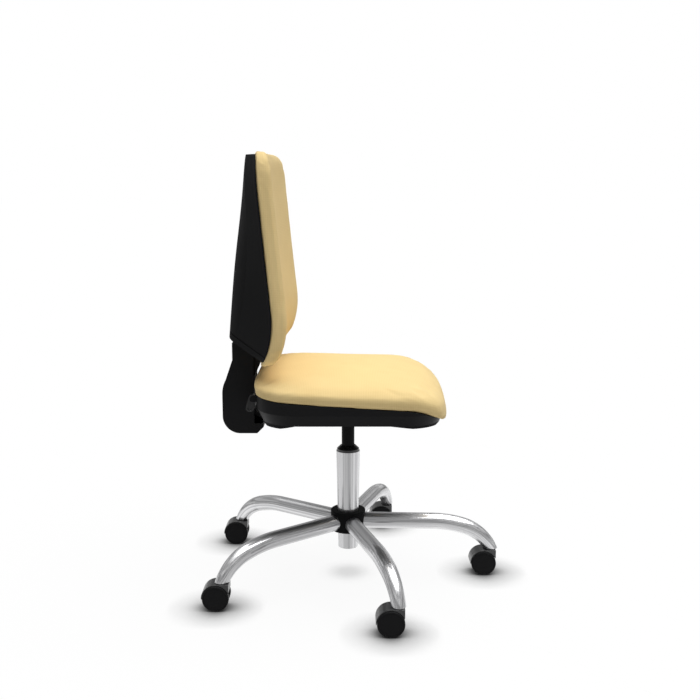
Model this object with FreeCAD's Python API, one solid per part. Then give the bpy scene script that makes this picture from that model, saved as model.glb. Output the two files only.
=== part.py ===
import FreeCAD, Part
import math
import os

# An office task chair: five-arm chromed base, gas lift, padded seat and padded back.
# Millimetres, +Z up. The chair faces -Y, the sitter's left is +X, and the origin is on the floor
# under the column's axis.

X_AXIS = FreeCAD.Vector(1, 0, 0)
Y_AXIS = FreeCAD.Vector(0, 1, 0)
Z_AXIS = FreeCAD.Vector(0, 0, 1)

# Fits shared by many pieces
RUNNING_CLEARANCE = 0.05
SWIVEL_CLEARANCE = 0.3
SIDE_CLEARANCE = 0.5

# Casters
CASTER_COUNT = 5
CASTER_CIRCLE_RADIUS = 318.0
CASTER_TRAIL = 14.5
WHEEL_RADIUS = 27.5
WHEEL_WIDTH = 15.0
WHEEL_EDGE_ROUND = 2.5
WHEEL_DISC_RADIUS = 24.0
WHEEL_DISC_DEPTH = 0.8
WHEEL_CAP = 3.0
TREAD_CLEARANCE = 0.6
HOOD_WEB_WIDTH = 15.0
HOOD_OVERHANG = 12.0
HOOD_WALL = 1.6
HOOD_FRONT = 12.5
HOOD_FRONT_HEIGHT = 17.0
HOOD_WEB_BOTTOM = 12.0
HOOD_WEB_FOOT = 13.0
AXLE_RADIUS = 4.0
STEM_RADIUS = 5.5
STEM_ROOT_DEPTH = 13.0
STEM_SOCKET_DEPTH = 14.0
STEM_COLLAR_RADIUS = 9.0
STEM_COLLAR_HEIGHT = 0.8

# Base arms: a straight run, a gentle bend and a tighter bend that narrows to the tip
ARM_TUBE_RADIUS = 17.8
ARM_TIP_RADIUS = 13.2
ARM_TUBE_WALL = 1.8
ARM_SLOPE = 1.0
ARM_FIRST_BEND_RADIUS = 240.0
ARM_FIRST_BEND_SLOPE = 18.0
ARM_SECOND_BEND_RADIUS = 105.0
ARM_END_SLOPE = 62.0
ARM_TRIM_SLOPE = 12.0
ARM_TAPER_STEPS = 4
ARM_END_OFFSET = 2.5
ARM_ROOT_RADIUS = 31.0
STEM_SOCKET_LENGTH = 20.0

# Hub and column
HUB_RADIUS = 38.5
HUB_EDGE_ROUND = 1.5
HUB_BELOW_ARMS = 20.0
HUB_ABOVE_ARMS = 25.0
COLUMN_TOP_RADIUS = 26.0
COLUMN_FOOT_RADIUS = 21.8
COLUMN_WALL = 2.0
COLUMN_BELOW_HUB = 41.0
COLUMN_LENGTH = 222.0
FOOT_PLATE_RECESS = 7.0
FOOT_PLATE_THICKNESS = 3.0

# Thrust bearing and gas lift
BEARING_RADIUS = 11.0
BEARING_WASHER = 2.0
BALL_RADIUS = 2.0
BALL_COUNT = 9
BALL_CLEARANCE = 0.05
GAS_LIFT_UP = 80.0
GAS_LIFT_DOWN = 40.0
BUSH_LENGTH = 80.0
COLLAR_RADIUS = 24.3
COLLAR_RIM_HEIGHT = 5.0
COLLAR_HEIGHT = 12.0
COLLAR_TOP_RADIUS = 17.0
CYLINDER_RADIUS = 14.0
CYLINDER_BORE_RADIUS = 11.0
CYLINDER_TAIL = 75.0
CYLINDER_GUIDE = 12.0
CYLINDER_VALVE_BLOCK = 50.0
TAPER_LENGTH = 34.0
TAPER_TOP_RADIUS = 13.0
ROD_RADIUS = 5.0
ROD_COLLAR_RADIUS = 9.0
ROD_COLLAR_HEIGHT = 3.0
ROD_TAIL = 3.5
CLIP_THICKNESS = 1.7
PISTON_HEIGHT = 10.0
STROKE_RESERVE = 3.0
VALVE_RADIUS = 3.0
VALVE_HOLE_DEPTH = 14.0
VALVE_PROUD = 5.5
VALVE_RESERVE = 4.0

# Mechanism under the seat
LIFT_SHOWN = 57.0
MECH_HALF_WIDTH = 42.0
MECH_HEIGHT = 51.0
MECH_WALL = 3.0
MECH_FRONT = -70.0
MECH_REAR = 92.0
MECH_FLOOR_REAR = 84.0
FLANGE_HALF_WIDTH = 85.0
SOCKET_RADIUS = 18.5
SEAT_BOLT_RADIUS = 4.0
SEAT_BOLT_HEAD_RADIUS = 6.5
SEAT_BOLT_HEAD = 5.5
SEAT_BOLT_X = 65.0
SEAT_BOLT_FRONT = -50.0
SEAT_BOLT_REAR = 70.0
SEAT_BOLT_BITE = 10.0
PIVOT_Y = 75.0
PIVOT_ABOVE_FLOOR = 18.0
PIVOT_PIN_RADIUS = 6.0
PIVOT_PIN_PROUD = 4.0
KNUCKLE_RADIUS = 11.0
KNUCKLE_HALF_WIDTH = 18.0
SPRING_WIRE_RADIUS = 2.0
SPRING_PITCH = 4.6
SPRING_TURNS = 3
SPRING_CLEARANCE = 0.3

# Height lever on the sitter's left and its pivot
LEVER_PIVOT_X = 48.0
LEVER_PIVOT_BELOW_NOSE = 15.0
LEVER_ROD_RADIUS = 4.0
LEVER_NOSE_RADIUS = 5.0
LEVER_KNEE_X = 30.0
LEVER_ELBOW_X = 66.0
LEVER_DROP = 33.0
LEVER_GRIP_START = 195.0
LEVER_GRIP_LENGTH = 55.0
LEVER_GRIP_WIDTH = 28.0
LEVER_GRIP_THICKNESS = 10.0
LEVER_GRIP_ROUND = 4.0
LEVER_BOSS_RADIUS = 6.5
LEVER_BOSS_HALF = 7.0
LEVER_PIN_RADIUS = 2.5
LEVER_EAR_THICKNESS = 3.0
LEVER_EAR_HALF_HEIGHT = 9.0
LEVER_EAR_REACH = 6.0

# Seat: board, under-cover and cushion
SEAT_BOARD_THICKNESS = 12.0
SEAT_BOARD_INSET = 12.0
COVER_SIDE_INSET = 8.0
COVER_FRONT_INSET = 4.0
COVER_REAR_INSET = 8.0
COVER_CORNER = 85.0
COVER_WALL = 3.0
COVER_BOTTOM_BELOW_BOARD = 13.5
COVER_CREASE_HEIGHT = 23.5
COVER_BOTTOM_INSET = 11.0
LIP_EDGE = 12.0
LIP_REAR_FLAT = 28.0
LIP_REAR_RUN_OUT = 30.0
LIP_REAR_DROP = 6.5
LIP_FRONT_FLAT = 47.0
LIP_FRONT_RUN_OUT = 45.0
LIP_FRONT_DROP = 5.0
COVER_OPENING_MARGIN = 20.0
RIM_REAR_ABOVE_BOARD = 38.5
RIM_BREAK_Y = -115.0
RIM_BREAK_ABOVE_BOARD = 19.2
RIM_FRONT_ABOVE_BOARD = -23.0
ARM_MOUNT_X = 150.0
ARM_MOUNT_SPACING = 100.0
ARM_MOUNT_HOLE_RADIUS = 4.0
ARM_MOUNT_BOSS_RADIUS = 9.0
COVER_SCREW_X = 110.0
COVER_SCREW_FRONT = -72.0
COVER_SCREW_REAR = 92.0
COVER_SCREW_RADIUS = 2.2
COVER_SCREW_HEAD_RADIUS = 4.5
COVER_SCREW_HEAD = 2.0
COVER_SCREW_BITE = 8.0
COVER_SCREW_BOSS_RADIUS = 7.0
CUSHION_HALF_WIDTH = 225.0
CUSHION_FRONT = -204.0
CUSHION_REAR = 194.0
CUSHION_TOP_ABOVE_BOARD = 73.0
CUSHION_PLAN_POWER = 5.0
CUSHION_TOP_POWER = 2.6
CUSHION_TUCK = 10.0
CUSHION_EDGE_ROUND = 34.0
CUSHION_SHOULDER = 0.8
CUSHION_BULGE = 0.4
CUSHION_SKIRT = 8.0
CUSHION_STATIONS = (0.0, 0.4, 0.65, 0.8, 0.89, 0.945, 0.975, 0.99)
CORE_CLEARANCE = 0.5

# Tilt-release paddle behind the seat's right rear corner
PADDLE_BEHIND_COVER = 14.0
PADDLE_PIVOT_ABOVE_BOARD = 16.0
PADDLE_TIP_BACK = 6.0
PADDLE_TIP_DROP = 19.0
PADDLE_RADIUS = 9.0
PADDLE_RECESS_RADIUS = 5.5
PADDLE_RECESS_DEPTH = 3.0
PADDLE_CENTRE_X = -79.0
PADDLE_WIDTH = 18.0
PADDLE_PIN_RADIUS = 3.0
PADDLE_LUG_THICKNESS = 3.5
PADDLE_LUG_RADIUS = 6.0
PADDLE_LUG_SKIN = 1.2

# Back bar and its covers. From here on heights are over the axis that the back reclines about
BAR_HALF_WIDTH = 25.0
BAR_THICKNESS = 8.0
BAR_BEND_RADIUS = 34.0
BAR_Y = 212.0
BAR_TOP = 364.0
FRONT_COVER_HALF_WIDTH = 32.0
FRONT_COVER_WALL = 6.0
FRONT_COVER_UPPER_WALL = 20.0
FRONT_COVER_BOTTOM = 38.5
FRONT_COVER_STEP = 84.5
FRONT_COVER_STEP_HEIGHT = 32.0
NECK_TOP = 234.5
NECK_HALF_WIDTH = 38.0
NECK_REAR = 228.0
BOOT_HALF_WIDTH = 42.0
BOOT_WALL = 3.0
BOOT_STANDOFF = 8.0
BOOT_SHOULDER = 160.0
BOOT_UPPER_REAR = 247.0
BOOT_WAIST = 123.5
BOOT_BULGE = 80.5
BOOT_BULGE_REAR = 262.0
BOOT_REAR = 270.0
BOOT_REAR_TOP = 48.5
BOOT_HEEL = 0.5
BOOT_BOTTOM = -37.5
BOOT_TOE_Y = 182.0
BOOT_TOE_RISE = 14.0
BOOT_RIBS = (28.5, 88.5, 148.5)
BOOT_RIB_THICKNESS = 3.0

# Back: board, pad and shell
BACK_HALF_WIDTH = 213.0
BACK_BOTTOM = 133.0
BACK_TOP = 559.5
BACK_PLAN_POWER = 8.0
BACK_LINE_TOP_Y = 172.0
BACK_LINE_UPPER_Y = 171.0
BACK_LINE_UPPER_Z = 471.5
BACK_LINE_BREAK_Y = 149.5
BACK_LINE_BREAK_Z = 248.5
BACK_LINE_BOTTOM_Y = 168.6
BACK_SAG = 16.0
BACK_MARGIN = 10.0
BACK_BOARD_THICKNESS = 8.0
BACK_BOARD_INSET = 22.0
BACK_BOARD_CORNER = 60.0
PAD_THICKNESS = 30.0
PAD_HOLLOW = 14.0
PAD_BULGE = 0.4
PAD_TUCK = 5.0
PAD_EDGE_ROUND = 14.0
PAD_END_ROUND = 16.0
PAD_SKIRT = 6.0
PAD_STATIONS = (0.0, 0.35, 0.6, 0.78, 0.87, 0.925, 0.955, 0.98, 0.994)
SHELL_INSET = 4.0
SHELL_WALL = 3.0
SHELL_EDGE_DEPTH = 3.0
SHELL_BOTTOM_FRONT_Y = 160.0
SHELL_BOTTOM_FRONT_Z = 140.5
SHELL_BOTTOM_SLOPE = 0.31
SHELL_GROOVE_UP = 13.0
SHELL_GROOVE_HEIGHT = 4.0
SHELL_GROOVE_DEPTH = 1.6
SHELL_OPENING_MARGIN = 4.0
SHELL_OPENING_BEHIND_NECK = 11.0
SHELL_OPENING_OVER_BOOT = 11.0
# Ridge between the shell's flanks and its rear panel: height, half width, depth and the panel's own depth
SHELL_RIDGE = (
    (140.5, 58.0, 247.0, 258.0),
    (173.5, 70.0, 236.5, 255.8),
    (240.5, 100.0, 217.5, 249.6),
    (328.5, 122.0, 204.5, 240.5),
    (428.5, 136.0, 201.5, 226.5),
    (508.5, 146.0, 202.0, 215.5),
    (540.5, 144.0, 200.0, 211.5),
    (551.0, 137.0, 199.0, 210.0),
)

# Height carriage between the back board and the bar
CARRIAGE_HALF_WIDTH = 36.0
CARRIAGE_BOTTOM = 240.5
CARRIAGE_TOP = 318.5
CARRIAGE_WALL = 7.0
CARRIAGE_CLEARANCE = 0.1
CARRIAGE_FLANGE_HALF_WIDTH = 62.0
CARRIAGE_FLANGE = 6.0
BACK_SCREW_X = 50.0
BACK_SCREW_RADIUS = 2.5
BACK_SCREW_HEAD_RADIUS = 4.5
BACK_SCREW_HEAD = 3.0
BACK_SCREW_INSET = 14.0
BACK_SCREW_TIP_COVER = 1.0
BACK_SCREW_STANDOFF = 0.8

# Heights worked up from the floor
HOOD_RADIUS = WHEEL_RADIUS + TREAD_CLEARANCE + HOOD_WALL
HOOD_TOP = WHEEL_RADIUS + HOOD_RADIUS
ARM_END_Z = HOOD_TOP + STEM_COLLAR_HEIGHT + SWIVEL_CLEARANCE


def vec(x, y, z):
    """A point or direction."""
    return FreeCAD.Vector(x, y, z)


def disc(radius, bottom, top, x=0.0, y=0.0):
    """An upright cylinder."""
    return Part.makeCylinder(radius, top - bottom, vec(x, y, bottom))


def ring(outer, inner, bottom, top):
    """An upright tube about the column's axis."""
    return disc(outer, bottom, top).cut(disc(inner, bottom, top))


def cross_pin(radius, start, end, y, z):
    """A cylinder along X."""
    return Part.makeCylinder(radius, end - start, vec(start, y, z), X_AXIS)


def block(x0, x1, y0, y1, z0, z1):
    """A box between two corners."""
    return Part.makeBox(x1 - x0, y1 - y0, z1 - z0, vec(x0, y0, z0))


def side_prism(edges, half_width, centre=0.0):
    """A closed side outline in the YZ plane, given as edges at X = 0, carried across the chair."""
    face = Part.Face(Part.Wire(edges))
    face.translate(vec(centre - half_width, 0, 0))
    return face.extrude(vec(2 * half_width, 0, 0))


def side_lines(points):
    """Straight edges in the YZ plane through (y, z) points."""
    corners = [vec(0, y, z) for y, z in points]
    return [Part.LineSegment(a, b).toShape() for a, b in zip(corners, corners[1:])]


def tangent_circle(start, direction, end):
    """Centre and radius of the circle that leaves start along direction and reaches end."""
    along = FreeCAD.Vector(direction).normalize()
    chord = end - start
    across = chord - along * chord.dot(along)
    radius = chord.Length ** 2 / (2 * across.Length)
    return start + across.normalize() * radius, radius


def tangent_arc(start, direction, end):
    """Arc that leaves start along direction and reaches end."""
    centre, radius = tangent_circle(start, direction, end)
    middle = centre + ((start + end) * 0.5 - centre).normalize() * radius
    return Part.Arc(start, middle, end).toShape()


def dome(share, power):
    """Superellipse: 1 in the middle, falling to 0 where share is -1 or 1."""
    return (1 - abs(share) ** power) ** (1 / power)


def rounded_plan(half_width, front, rear, corner, z):
    """Closed wire of a rounded rectangle in a level plane."""
    x0 = half_width - corner
    y0 = front + corner
    y1 = rear - corner
    turn = corner * math.sqrt(0.5)
    edges = []
    quarters = ((x0, y1, 1, 1), (-x0, y1, -1, 1), (-x0, y0, -1, -1), (x0, y0, 1, -1))
    ends = []
    for x, y, sx, sy in quarters:
        side = vec(x + sx * corner, y, z)
        middle = vec(x + sx * turn, y + sy * turn, z)
        end = vec(x, y + sy * corner, z)
        first, last = (side, end) if sx == sy else (end, side)
        edges.append(Part.Arc(first, middle, last).toShape())
        ends.append((first, last))
    wire_edges = []
    for k, edge in enumerate(edges):
        wire_edges.append(edge)
        wire_edges.append(Part.LineSegment(ends[k][1], ends[(k + 1) % 4][0]).toShape())
    return Part.Wire(wire_edges)


def caster_places():
    """Stem positions, the first straight ahead of the column."""
    places = []
    for k in range(CASTER_COUNT):
        angle = math.radians(-90.0 + k * 360.0 / CASTER_COUNT)
        places.append(vec(math.cos(angle), math.sin(angle), 0) * CASTER_CIRCLE_RADIUS)
    return places


# Casters, built with the stem on the Z axis and the axle behind it

WHEEL_INNER = HOOD_WEB_WIDTH / 2 + SIDE_CLEARANCE
WHEEL_OUTER = WHEEL_INNER + WHEEL_WIDTH
AXLE_END = WHEEL_OUTER - WHEEL_CAP


def caster_stem():
    """Steel swivel pin with its collar, pressed into the hood."""
    stem = disc(STEM_RADIUS, HOOD_TOP - STEM_ROOT_DEPTH, ARM_END_Z + STEM_SOCKET_DEPTH)
    return stem.fuse(disc(STEM_COLLAR_RADIUS, HOOD_TOP, HOOD_TOP + STEM_COLLAR_HEIGHT)).removeSplitter()


def caster_hood():
    """Moulded web between the wheels, with a roof over both treads and a bore for the stem."""
    top = vec(0, CASTER_TRAIL, HOOD_TOP)
    rear = vec(0, CASTER_TRAIL + HOOD_RADIUS, WHEEL_RADIUS)
    diagonal = HOOD_RADIUS * math.sqrt(0.5)
    middle = vec(0, CASTER_TRAIL + diagonal, WHEEL_RADIUS + diagonal)
    edges = [Part.Arc(top, middle, rear).toShape()]
    edges += side_lines((
        (rear.y, rear.z),
        (CASTER_TRAIL + HOOD_WEB_FOOT, HOOD_WEB_BOTTOM),
        (CASTER_TRAIL - HOOD_WEB_FOOT, HOOD_WEB_BOTTOM),
        (-HOOD_FRONT, HOOD_TOP - HOOD_FRONT_HEIGHT),
        (-HOOD_FRONT, HOOD_TOP),
        (top.y, top.z),
    ))
    hood = side_prism(edges, HOOD_WEB_WIDTH / 2 + HOOD_OVERHANG)
    well = WHEEL_RADIUS + TREAD_CLEARANCE
    for start in (HOOD_WEB_WIDTH / 2, -HOOD_WEB_WIDTH / 2 - WHEEL_OUTER):
        hood = hood.cut(cross_pin(well, start, start + WHEEL_OUTER, CASTER_TRAIL, WHEEL_RADIUS))
    hood = hood.cut(disc(STEM_RADIUS, HOOD_TOP - STEM_ROOT_DEPTH, HOOD_TOP))
    return hood.cut(cross_pin(AXLE_RADIUS, -WHEEL_OUTER, WHEEL_OUTER, CASTER_TRAIL, WHEEL_RADIUS))


def caster_axle():
    """Steel pin through the web that both wheels turn on."""
    return cross_pin(AXLE_RADIUS, -AXLE_END, AXLE_END, CASTER_TRAIL, WHEEL_RADIUS)


def caster_wheel(side):
    """One wheel: rounded tread, dished closed outer face and a blind bore. side is 1 or -1."""
    wheel = cross_pin(WHEEL_RADIUS, WHEEL_INNER, WHEEL_OUTER, CASTER_TRAIL, WHEEL_RADIUS)
    rims = [e for e in wheel.Edges if isinstance(e.Curve, Part.Circle)]
    wheel = wheel.makeFillet(WHEEL_EDGE_ROUND, rims)
    face = WHEEL_OUTER - WHEEL_DISC_DEPTH
    wheel = wheel.cut(cross_pin(WHEEL_DISC_RADIUS, face, WHEEL_OUTER, CASTER_TRAIL, WHEEL_RADIUS))
    bore = AXLE_RADIUS + RUNNING_CLEARANCE
    bore_end = AXLE_END + SWIVEL_CLEARANCE
    wheel = wheel.cut(cross_pin(bore, WHEEL_INNER, bore_end, CASTER_TRAIL, WHEEL_RADIUS))
    if side < 0:
        wheel = wheel.mirror(vec(0, 0, 0), X_AXIS)
    return wheel


# Base arms, built along +X in the XZ plane

def bend_end(start, radius, slope, end_slope):
    """Where a bend that turns downwards from one slope to another ends."""
    a = math.radians(slope)
    b = math.radians(end_slope)
    return start + vec(radius * (math.sin(b) - math.sin(a)), 0, radius * (math.cos(b) - math.cos(a)))


def arm_points():
    """Root, start of the first bend and start of the second bend of the arm's centreline."""
    turn = bend_end(vec(0, 0, 0), ARM_FIRST_BEND_RADIUS, ARM_SLOPE, ARM_FIRST_BEND_SLOPE)
    tip = bend_end(turn, ARM_SECOND_BEND_RADIUS, ARM_FIRST_BEND_SLOPE, ARM_END_SLOPE)
    bend = vec(CASTER_CIRCLE_RADIUS + ARM_END_OFFSET, 0, ARM_END_Z) - tip
    rise = (bend.x - ARM_ROOT_RADIUS) * math.tan(math.radians(ARM_SLOPE))
    return vec(ARM_ROOT_RADIUS, 0, bend.z + rise), bend, bend + turn


ARM_ROOT_Z = arm_points()[0].z
HUB_BOTTOM = ARM_ROOT_Z - HUB_BELOW_ARMS
HUB_TOP = ARM_ROOT_Z + HUB_ABOVE_ARMS
COLUMN_FOOT = HUB_BOTTOM - COLUMN_BELOW_HUB
COLUMN_TOP = COLUMN_FOOT + COLUMN_LENGTH
BUSH_BOTTOM = COLUMN_TOP - BUSH_LENGTH
COLLAR_TOP = COLUMN_TOP + COLLAR_HEIGHT
MECH_BOTTOM = COLLAR_TOP + LIFT_SHOWN
SEAT_BOARD_BOTTOM = MECH_BOTTOM + MECH_HEIGHT
SEAT_BOARD_TOP = SEAT_BOARD_BOTTOM + SEAT_BOARD_THICKNESS


def tube_rim(centre, slope, radius):
    """Circle across the arm where its centreline has the given slope."""
    rim = Part.Wire(Part.makeCircle(radius, vec(0, 0, 0), X_AXIS))
    rim.rotate(vec(0, 0, 0), Y_AXIS, slope)
    rim.translate(centre)
    return rim


def arm_solid(radius, tip_radius):
    """Solid bar along the arm's centreline, past its end cut."""
    root, bend, turn = arm_points()
    halfway = bend_end(bend, ARM_FIRST_BEND_RADIUS, ARM_SLOPE, (ARM_SLOPE + ARM_FIRST_BEND_SLOPE) / 2)
    run = Part.LineSegment(root, bend).toShape()
    first_bend = Part.Arc(bend, halfway, turn).toShape()
    straight = Part.Wire([run, first_bend]).makePipeShell([tube_rim(root, ARM_SLOPE, radius)], True, False)
    rims = []
    for k in range(ARM_TAPER_STEPS + 1):
        share = k / ARM_TAPER_STEPS
        slope = ARM_FIRST_BEND_SLOPE + share * (ARM_END_SLOPE + ARM_TRIM_SLOPE - ARM_FIRST_BEND_SLOPE)
        centre = bend_end(turn, ARM_SECOND_BEND_RADIUS, ARM_FIRST_BEND_SLOPE, slope)
        rims.append(tube_rim(centre, slope, radius + share * (tip_radius - radius)))
    return straight.fuse(Part.makeLoft(rims, True, False))


def above_arm_end(height):
    """Box from the arm's level end cut up to a height over it."""
    reach = CASTER_CIRCLE_RADIUS + ARM_SECOND_BEND_RADIUS
    return block(0, reach, -ARM_TUBE_RADIUS * 2, ARM_TUBE_RADIUS * 2, ARM_END_Z, ARM_END_Z + height)


def turned(shape, k):
    """Shape built along +X, turned to arm k."""
    copy = shape.copy()
    copy.rotate(vec(0, 0, 0), Z_AXIS, -90.0 + k * 360.0 / CASTER_COUNT)
    return copy


def base_arm():
    """Chromed tube with its end cut level over the caster."""
    bore = arm_solid(ARM_TUBE_RADIUS - ARM_TUBE_WALL, ARM_TIP_RADIUS - ARM_TUBE_WALL)
    tube = arm_solid(ARM_TUBE_RADIUS, ARM_TIP_RADIUS).cut(bore)
    return tube.common(above_arm_end(ARM_ROOT_Z))


def stem_socket():
    """Plug that fills the arm's end and holds the caster's stem."""
    bore = arm_solid(ARM_TUBE_RADIUS - ARM_TUBE_WALL, ARM_TIP_RADIUS - ARM_TUBE_WALL)
    plug = bore.common(above_arm_end(STEM_SOCKET_LENGTH))
    hole_top = ARM_END_Z + STEM_SOCKET_DEPTH + SIDE_CLEARANCE
    return plug.cut(disc(STEM_RADIUS + RUNNING_CLEARANCE, ARM_END_Z, hole_top, CASTER_CIRCLE_RADIUS))


# Hub and column

def column_radius(z):
    """Outer radius of the tapered column at a height."""
    share = (z - COLUMN_FOOT) / COLUMN_LENGTH
    return COLUMN_FOOT_RADIUS + share * (COLUMN_TOP_RADIUS - COLUMN_FOOT_RADIUS)


def column_cone(inset, bottom, top):
    """Part of the column's cone, smaller by inset all round."""
    low = column_radius(bottom) - inset
    high = column_radius(top) - inset
    return Part.makeCone(low, high, top - bottom, vec(0, 0, bottom))


def hub():
    """Moulded hub with rounded rims, a round socket for each arm and a tapered bore for the column."""
    body = disc(HUB_RADIUS, HUB_BOTTOM, HUB_TOP)
    body = body.makeFillet(HUB_EDGE_ROUND, [edge for edge in body.Edges if edge.isClosed()])
    body = body.cut(column_cone(0, COLUMN_FOOT, COLUMN_TOP))
    along = vec(math.cos(math.radians(ARM_SLOPE)), 0, -math.sin(math.radians(ARM_SLOPE)))
    root = arm_points()[0]
    for k in range(CASTER_COUNT):
        body = body.cut(turned(Part.makeCylinder(ARM_TUBE_RADIUS, HUB_RADIUS, root, along), k))
    return body.removeSplitter()


FOOT_PLATE_BOTTOM = COLUMN_FOOT + FOOT_PLATE_RECESS
FOOT_PLATE_TOP = FOOT_PLATE_BOTTOM + FOOT_PLATE_THICKNESS


def column_tube():
    """Chromed tapered tube with a foot plate inside its lower end."""
    tube = column_cone(0, COLUMN_FOOT, COLUMN_TOP).cut(column_cone(COLUMN_WALL, COLUMN_FOOT, COLUMN_TOP))
    plate = column_cone(COLUMN_WALL, FOOT_PLATE_BOTTOM, FOOT_PLATE_TOP)
    plate = plate.cut(disc(ROD_RADIUS + RUNNING_CLEARANCE, FOOT_PLATE_BOTTOM, FOOT_PLATE_TOP))
    return tube.fuse(plate).removeSplitter()


def guide_bush():
    """Black sleeve in the column's top with the collar that shows above it."""
    sleeve = column_cone(COLUMN_WALL, BUSH_BOTTOM, COLUMN_TOP)
    rim_top = COLUMN_TOP + COLLAR_RIM_HEIGHT
    cone = Part.makeCone(COLLAR_RADIUS, COLLAR_TOP_RADIUS, COLLAR_TOP - rim_top, vec(0, 0, rim_top))
    collar = disc(COLLAR_RADIUS, COLUMN_TOP, rim_top).fuse(cone)
    bore = disc(CYLINDER_RADIUS + RUNNING_CLEARANCE, BUSH_BOTTOM, COLLAR_TOP)
    return sleeve.fuse(collar).cut(bore).removeSplitter()


# Thrust bearing and gas lift

BALL_CENTRE = FOOT_PLATE_TOP + BEARING_WASHER + BALL_CLEARANCE + BALL_RADIUS
UPPER_WASHER = BALL_CENTRE + BALL_RADIUS + BALL_CLEARANCE
ROD_COLLAR_BOTTOM = UPPER_WASHER + BEARING_WASHER + SWIVEL_CLEARANCE


def thrust_bearing():
    """Two washers with a circle of balls between them, on the foot plate."""
    bore = ROD_RADIUS + SWIVEL_CLEARANCE
    solids = [
        ring(BEARING_RADIUS, bore, FOOT_PLATE_TOP, FOOT_PLATE_TOP + BEARING_WASHER),
        ring(BEARING_RADIUS, bore, UPPER_WASHER, UPPER_WASHER + BEARING_WASHER),
    ]
    ball_circle = (BEARING_RADIUS + bore) / 2
    for k in range(BALL_COUNT):
        angle = 2 * math.pi * k / BALL_COUNT
        centre = vec(ball_circle * math.cos(angle), ball_circle * math.sin(angle), BALL_CENTRE)
        solids.append(Part.makeSphere(BALL_RADIUS, centre))
    return Part.makeCompound(solids)


CYLINDER_BOTTOM = BUSH_BOTTOM - CYLINDER_TAIL
CYLINDER_TOP = MECH_BOTTOM + TAPER_LENGTH
CHAMBER_TOP = CYLINDER_TOP - CYLINDER_VALVE_BLOCK
VALVE_TOP = CYLINDER_TOP + VALVE_PROUD


def gas_taper():
    """Tapered upper end of the gas cylinder."""
    return Part.makeCone(CYLINDER_RADIUS, TAPER_TOP_RADIUS, TAPER_LENGTH, vec(0, 0, MECH_BOTTOM))


def gas_cylinder():
    """Black pressure tube with its rod guide below and its valve block above."""
    body = disc(CYLINDER_RADIUS, CYLINDER_BOTTOM, MECH_BOTTOM).fuse(gas_taper())
    body = body.cut(disc(CYLINDER_BORE_RADIUS, CYLINDER_BOTTOM + CYLINDER_GUIDE, CHAMBER_TOP))
    body = body.cut(disc(ROD_RADIUS + RUNNING_CLEARANCE, CYLINDER_BOTTOM, CYLINDER_BOTTOM + CYLINDER_GUIDE))
    return body.cut(disc(VALVE_RADIUS + RUNNING_CLEARANCE, CYLINDER_TOP - VALVE_HOLE_DEPTH, CYLINDER_TOP))


def valve_pin():
    """Release pin that the height lever presses down."""
    return disc(VALVE_RADIUS, CYLINDER_TOP - VALVE_HOLE_DEPTH + VALVE_RESERVE, VALVE_TOP)


def gas_rod():
    """Steel rod that stands on the thrust bearing, with the piston at its top."""
    piston_top = CHAMBER_TOP - GAS_LIFT_DOWN - STROKE_RESERVE
    rod = disc(ROD_RADIUS, FOOT_PLATE_BOTTOM - ROD_TAIL, piston_top)
    rod = rod.fuse(disc(ROD_COLLAR_RADIUS, ROD_COLLAR_BOTTOM, ROD_COLLAR_BOTTOM + ROD_COLLAR_HEIGHT))
    piston = disc(CYLINDER_BORE_RADIUS - RUNNING_CLEARANCE, piston_top - PISTON_HEIGHT, piston_top)
    return rod.fuse(piston).removeSplitter()


def rod_clip():
    """Clip on the rod's lower end, under the foot plate."""
    top = FOOT_PLATE_BOTTOM - SWIVEL_CLEARANCE
    return ring(ROD_COLLAR_RADIUS, ROD_RADIUS, top - CLIP_THICKNESS, top)


# Mechanism

PIVOT_Z = MECH_BOTTOM + PIVOT_ABOVE_FLOOR
LEVER_NOSE_Z = VALVE_TOP + SWIVEL_CLEARANCE + LEVER_NOSE_RADIUS
LEVER_PIVOT_Z = LEVER_NOSE_Z - LEVER_PIVOT_BELOW_NOSE


def seat_bolt_places():
    """The four bolt positions under the seat board."""
    return [(x, y) for x in (-SEAT_BOLT_X, SEAT_BOLT_X) for y in (SEAT_BOLT_FRONT, SEAT_BOLT_REAR)]


def taper_socket():
    """Steel ring that grips the gas cylinder's taper."""
    return disc(SOCKET_RADIUS, MECH_BOTTOM, CYLINDER_TOP).cut(gas_taper())


def lever_ears():
    """Two ears outside the housing's left wall that carry the lever's pin."""
    ears = []
    for side in (-1, 1):
        near = side * (LEVER_BOSS_HALF + SIDE_CLEARANCE)
        far = near + side * LEVER_EAR_THICKNESS
        ears.append(block(
            MECH_HALF_WIDTH, LEVER_PIVOT_X + LEVER_EAR_REACH, min(near, far), max(near, far),
            LEVER_PIVOT_Z - LEVER_EAR_HALF_HEIGHT, LEVER_PIVOT_Z + LEVER_EAR_HALF_HEIGHT,
        ))
    return ears


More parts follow.
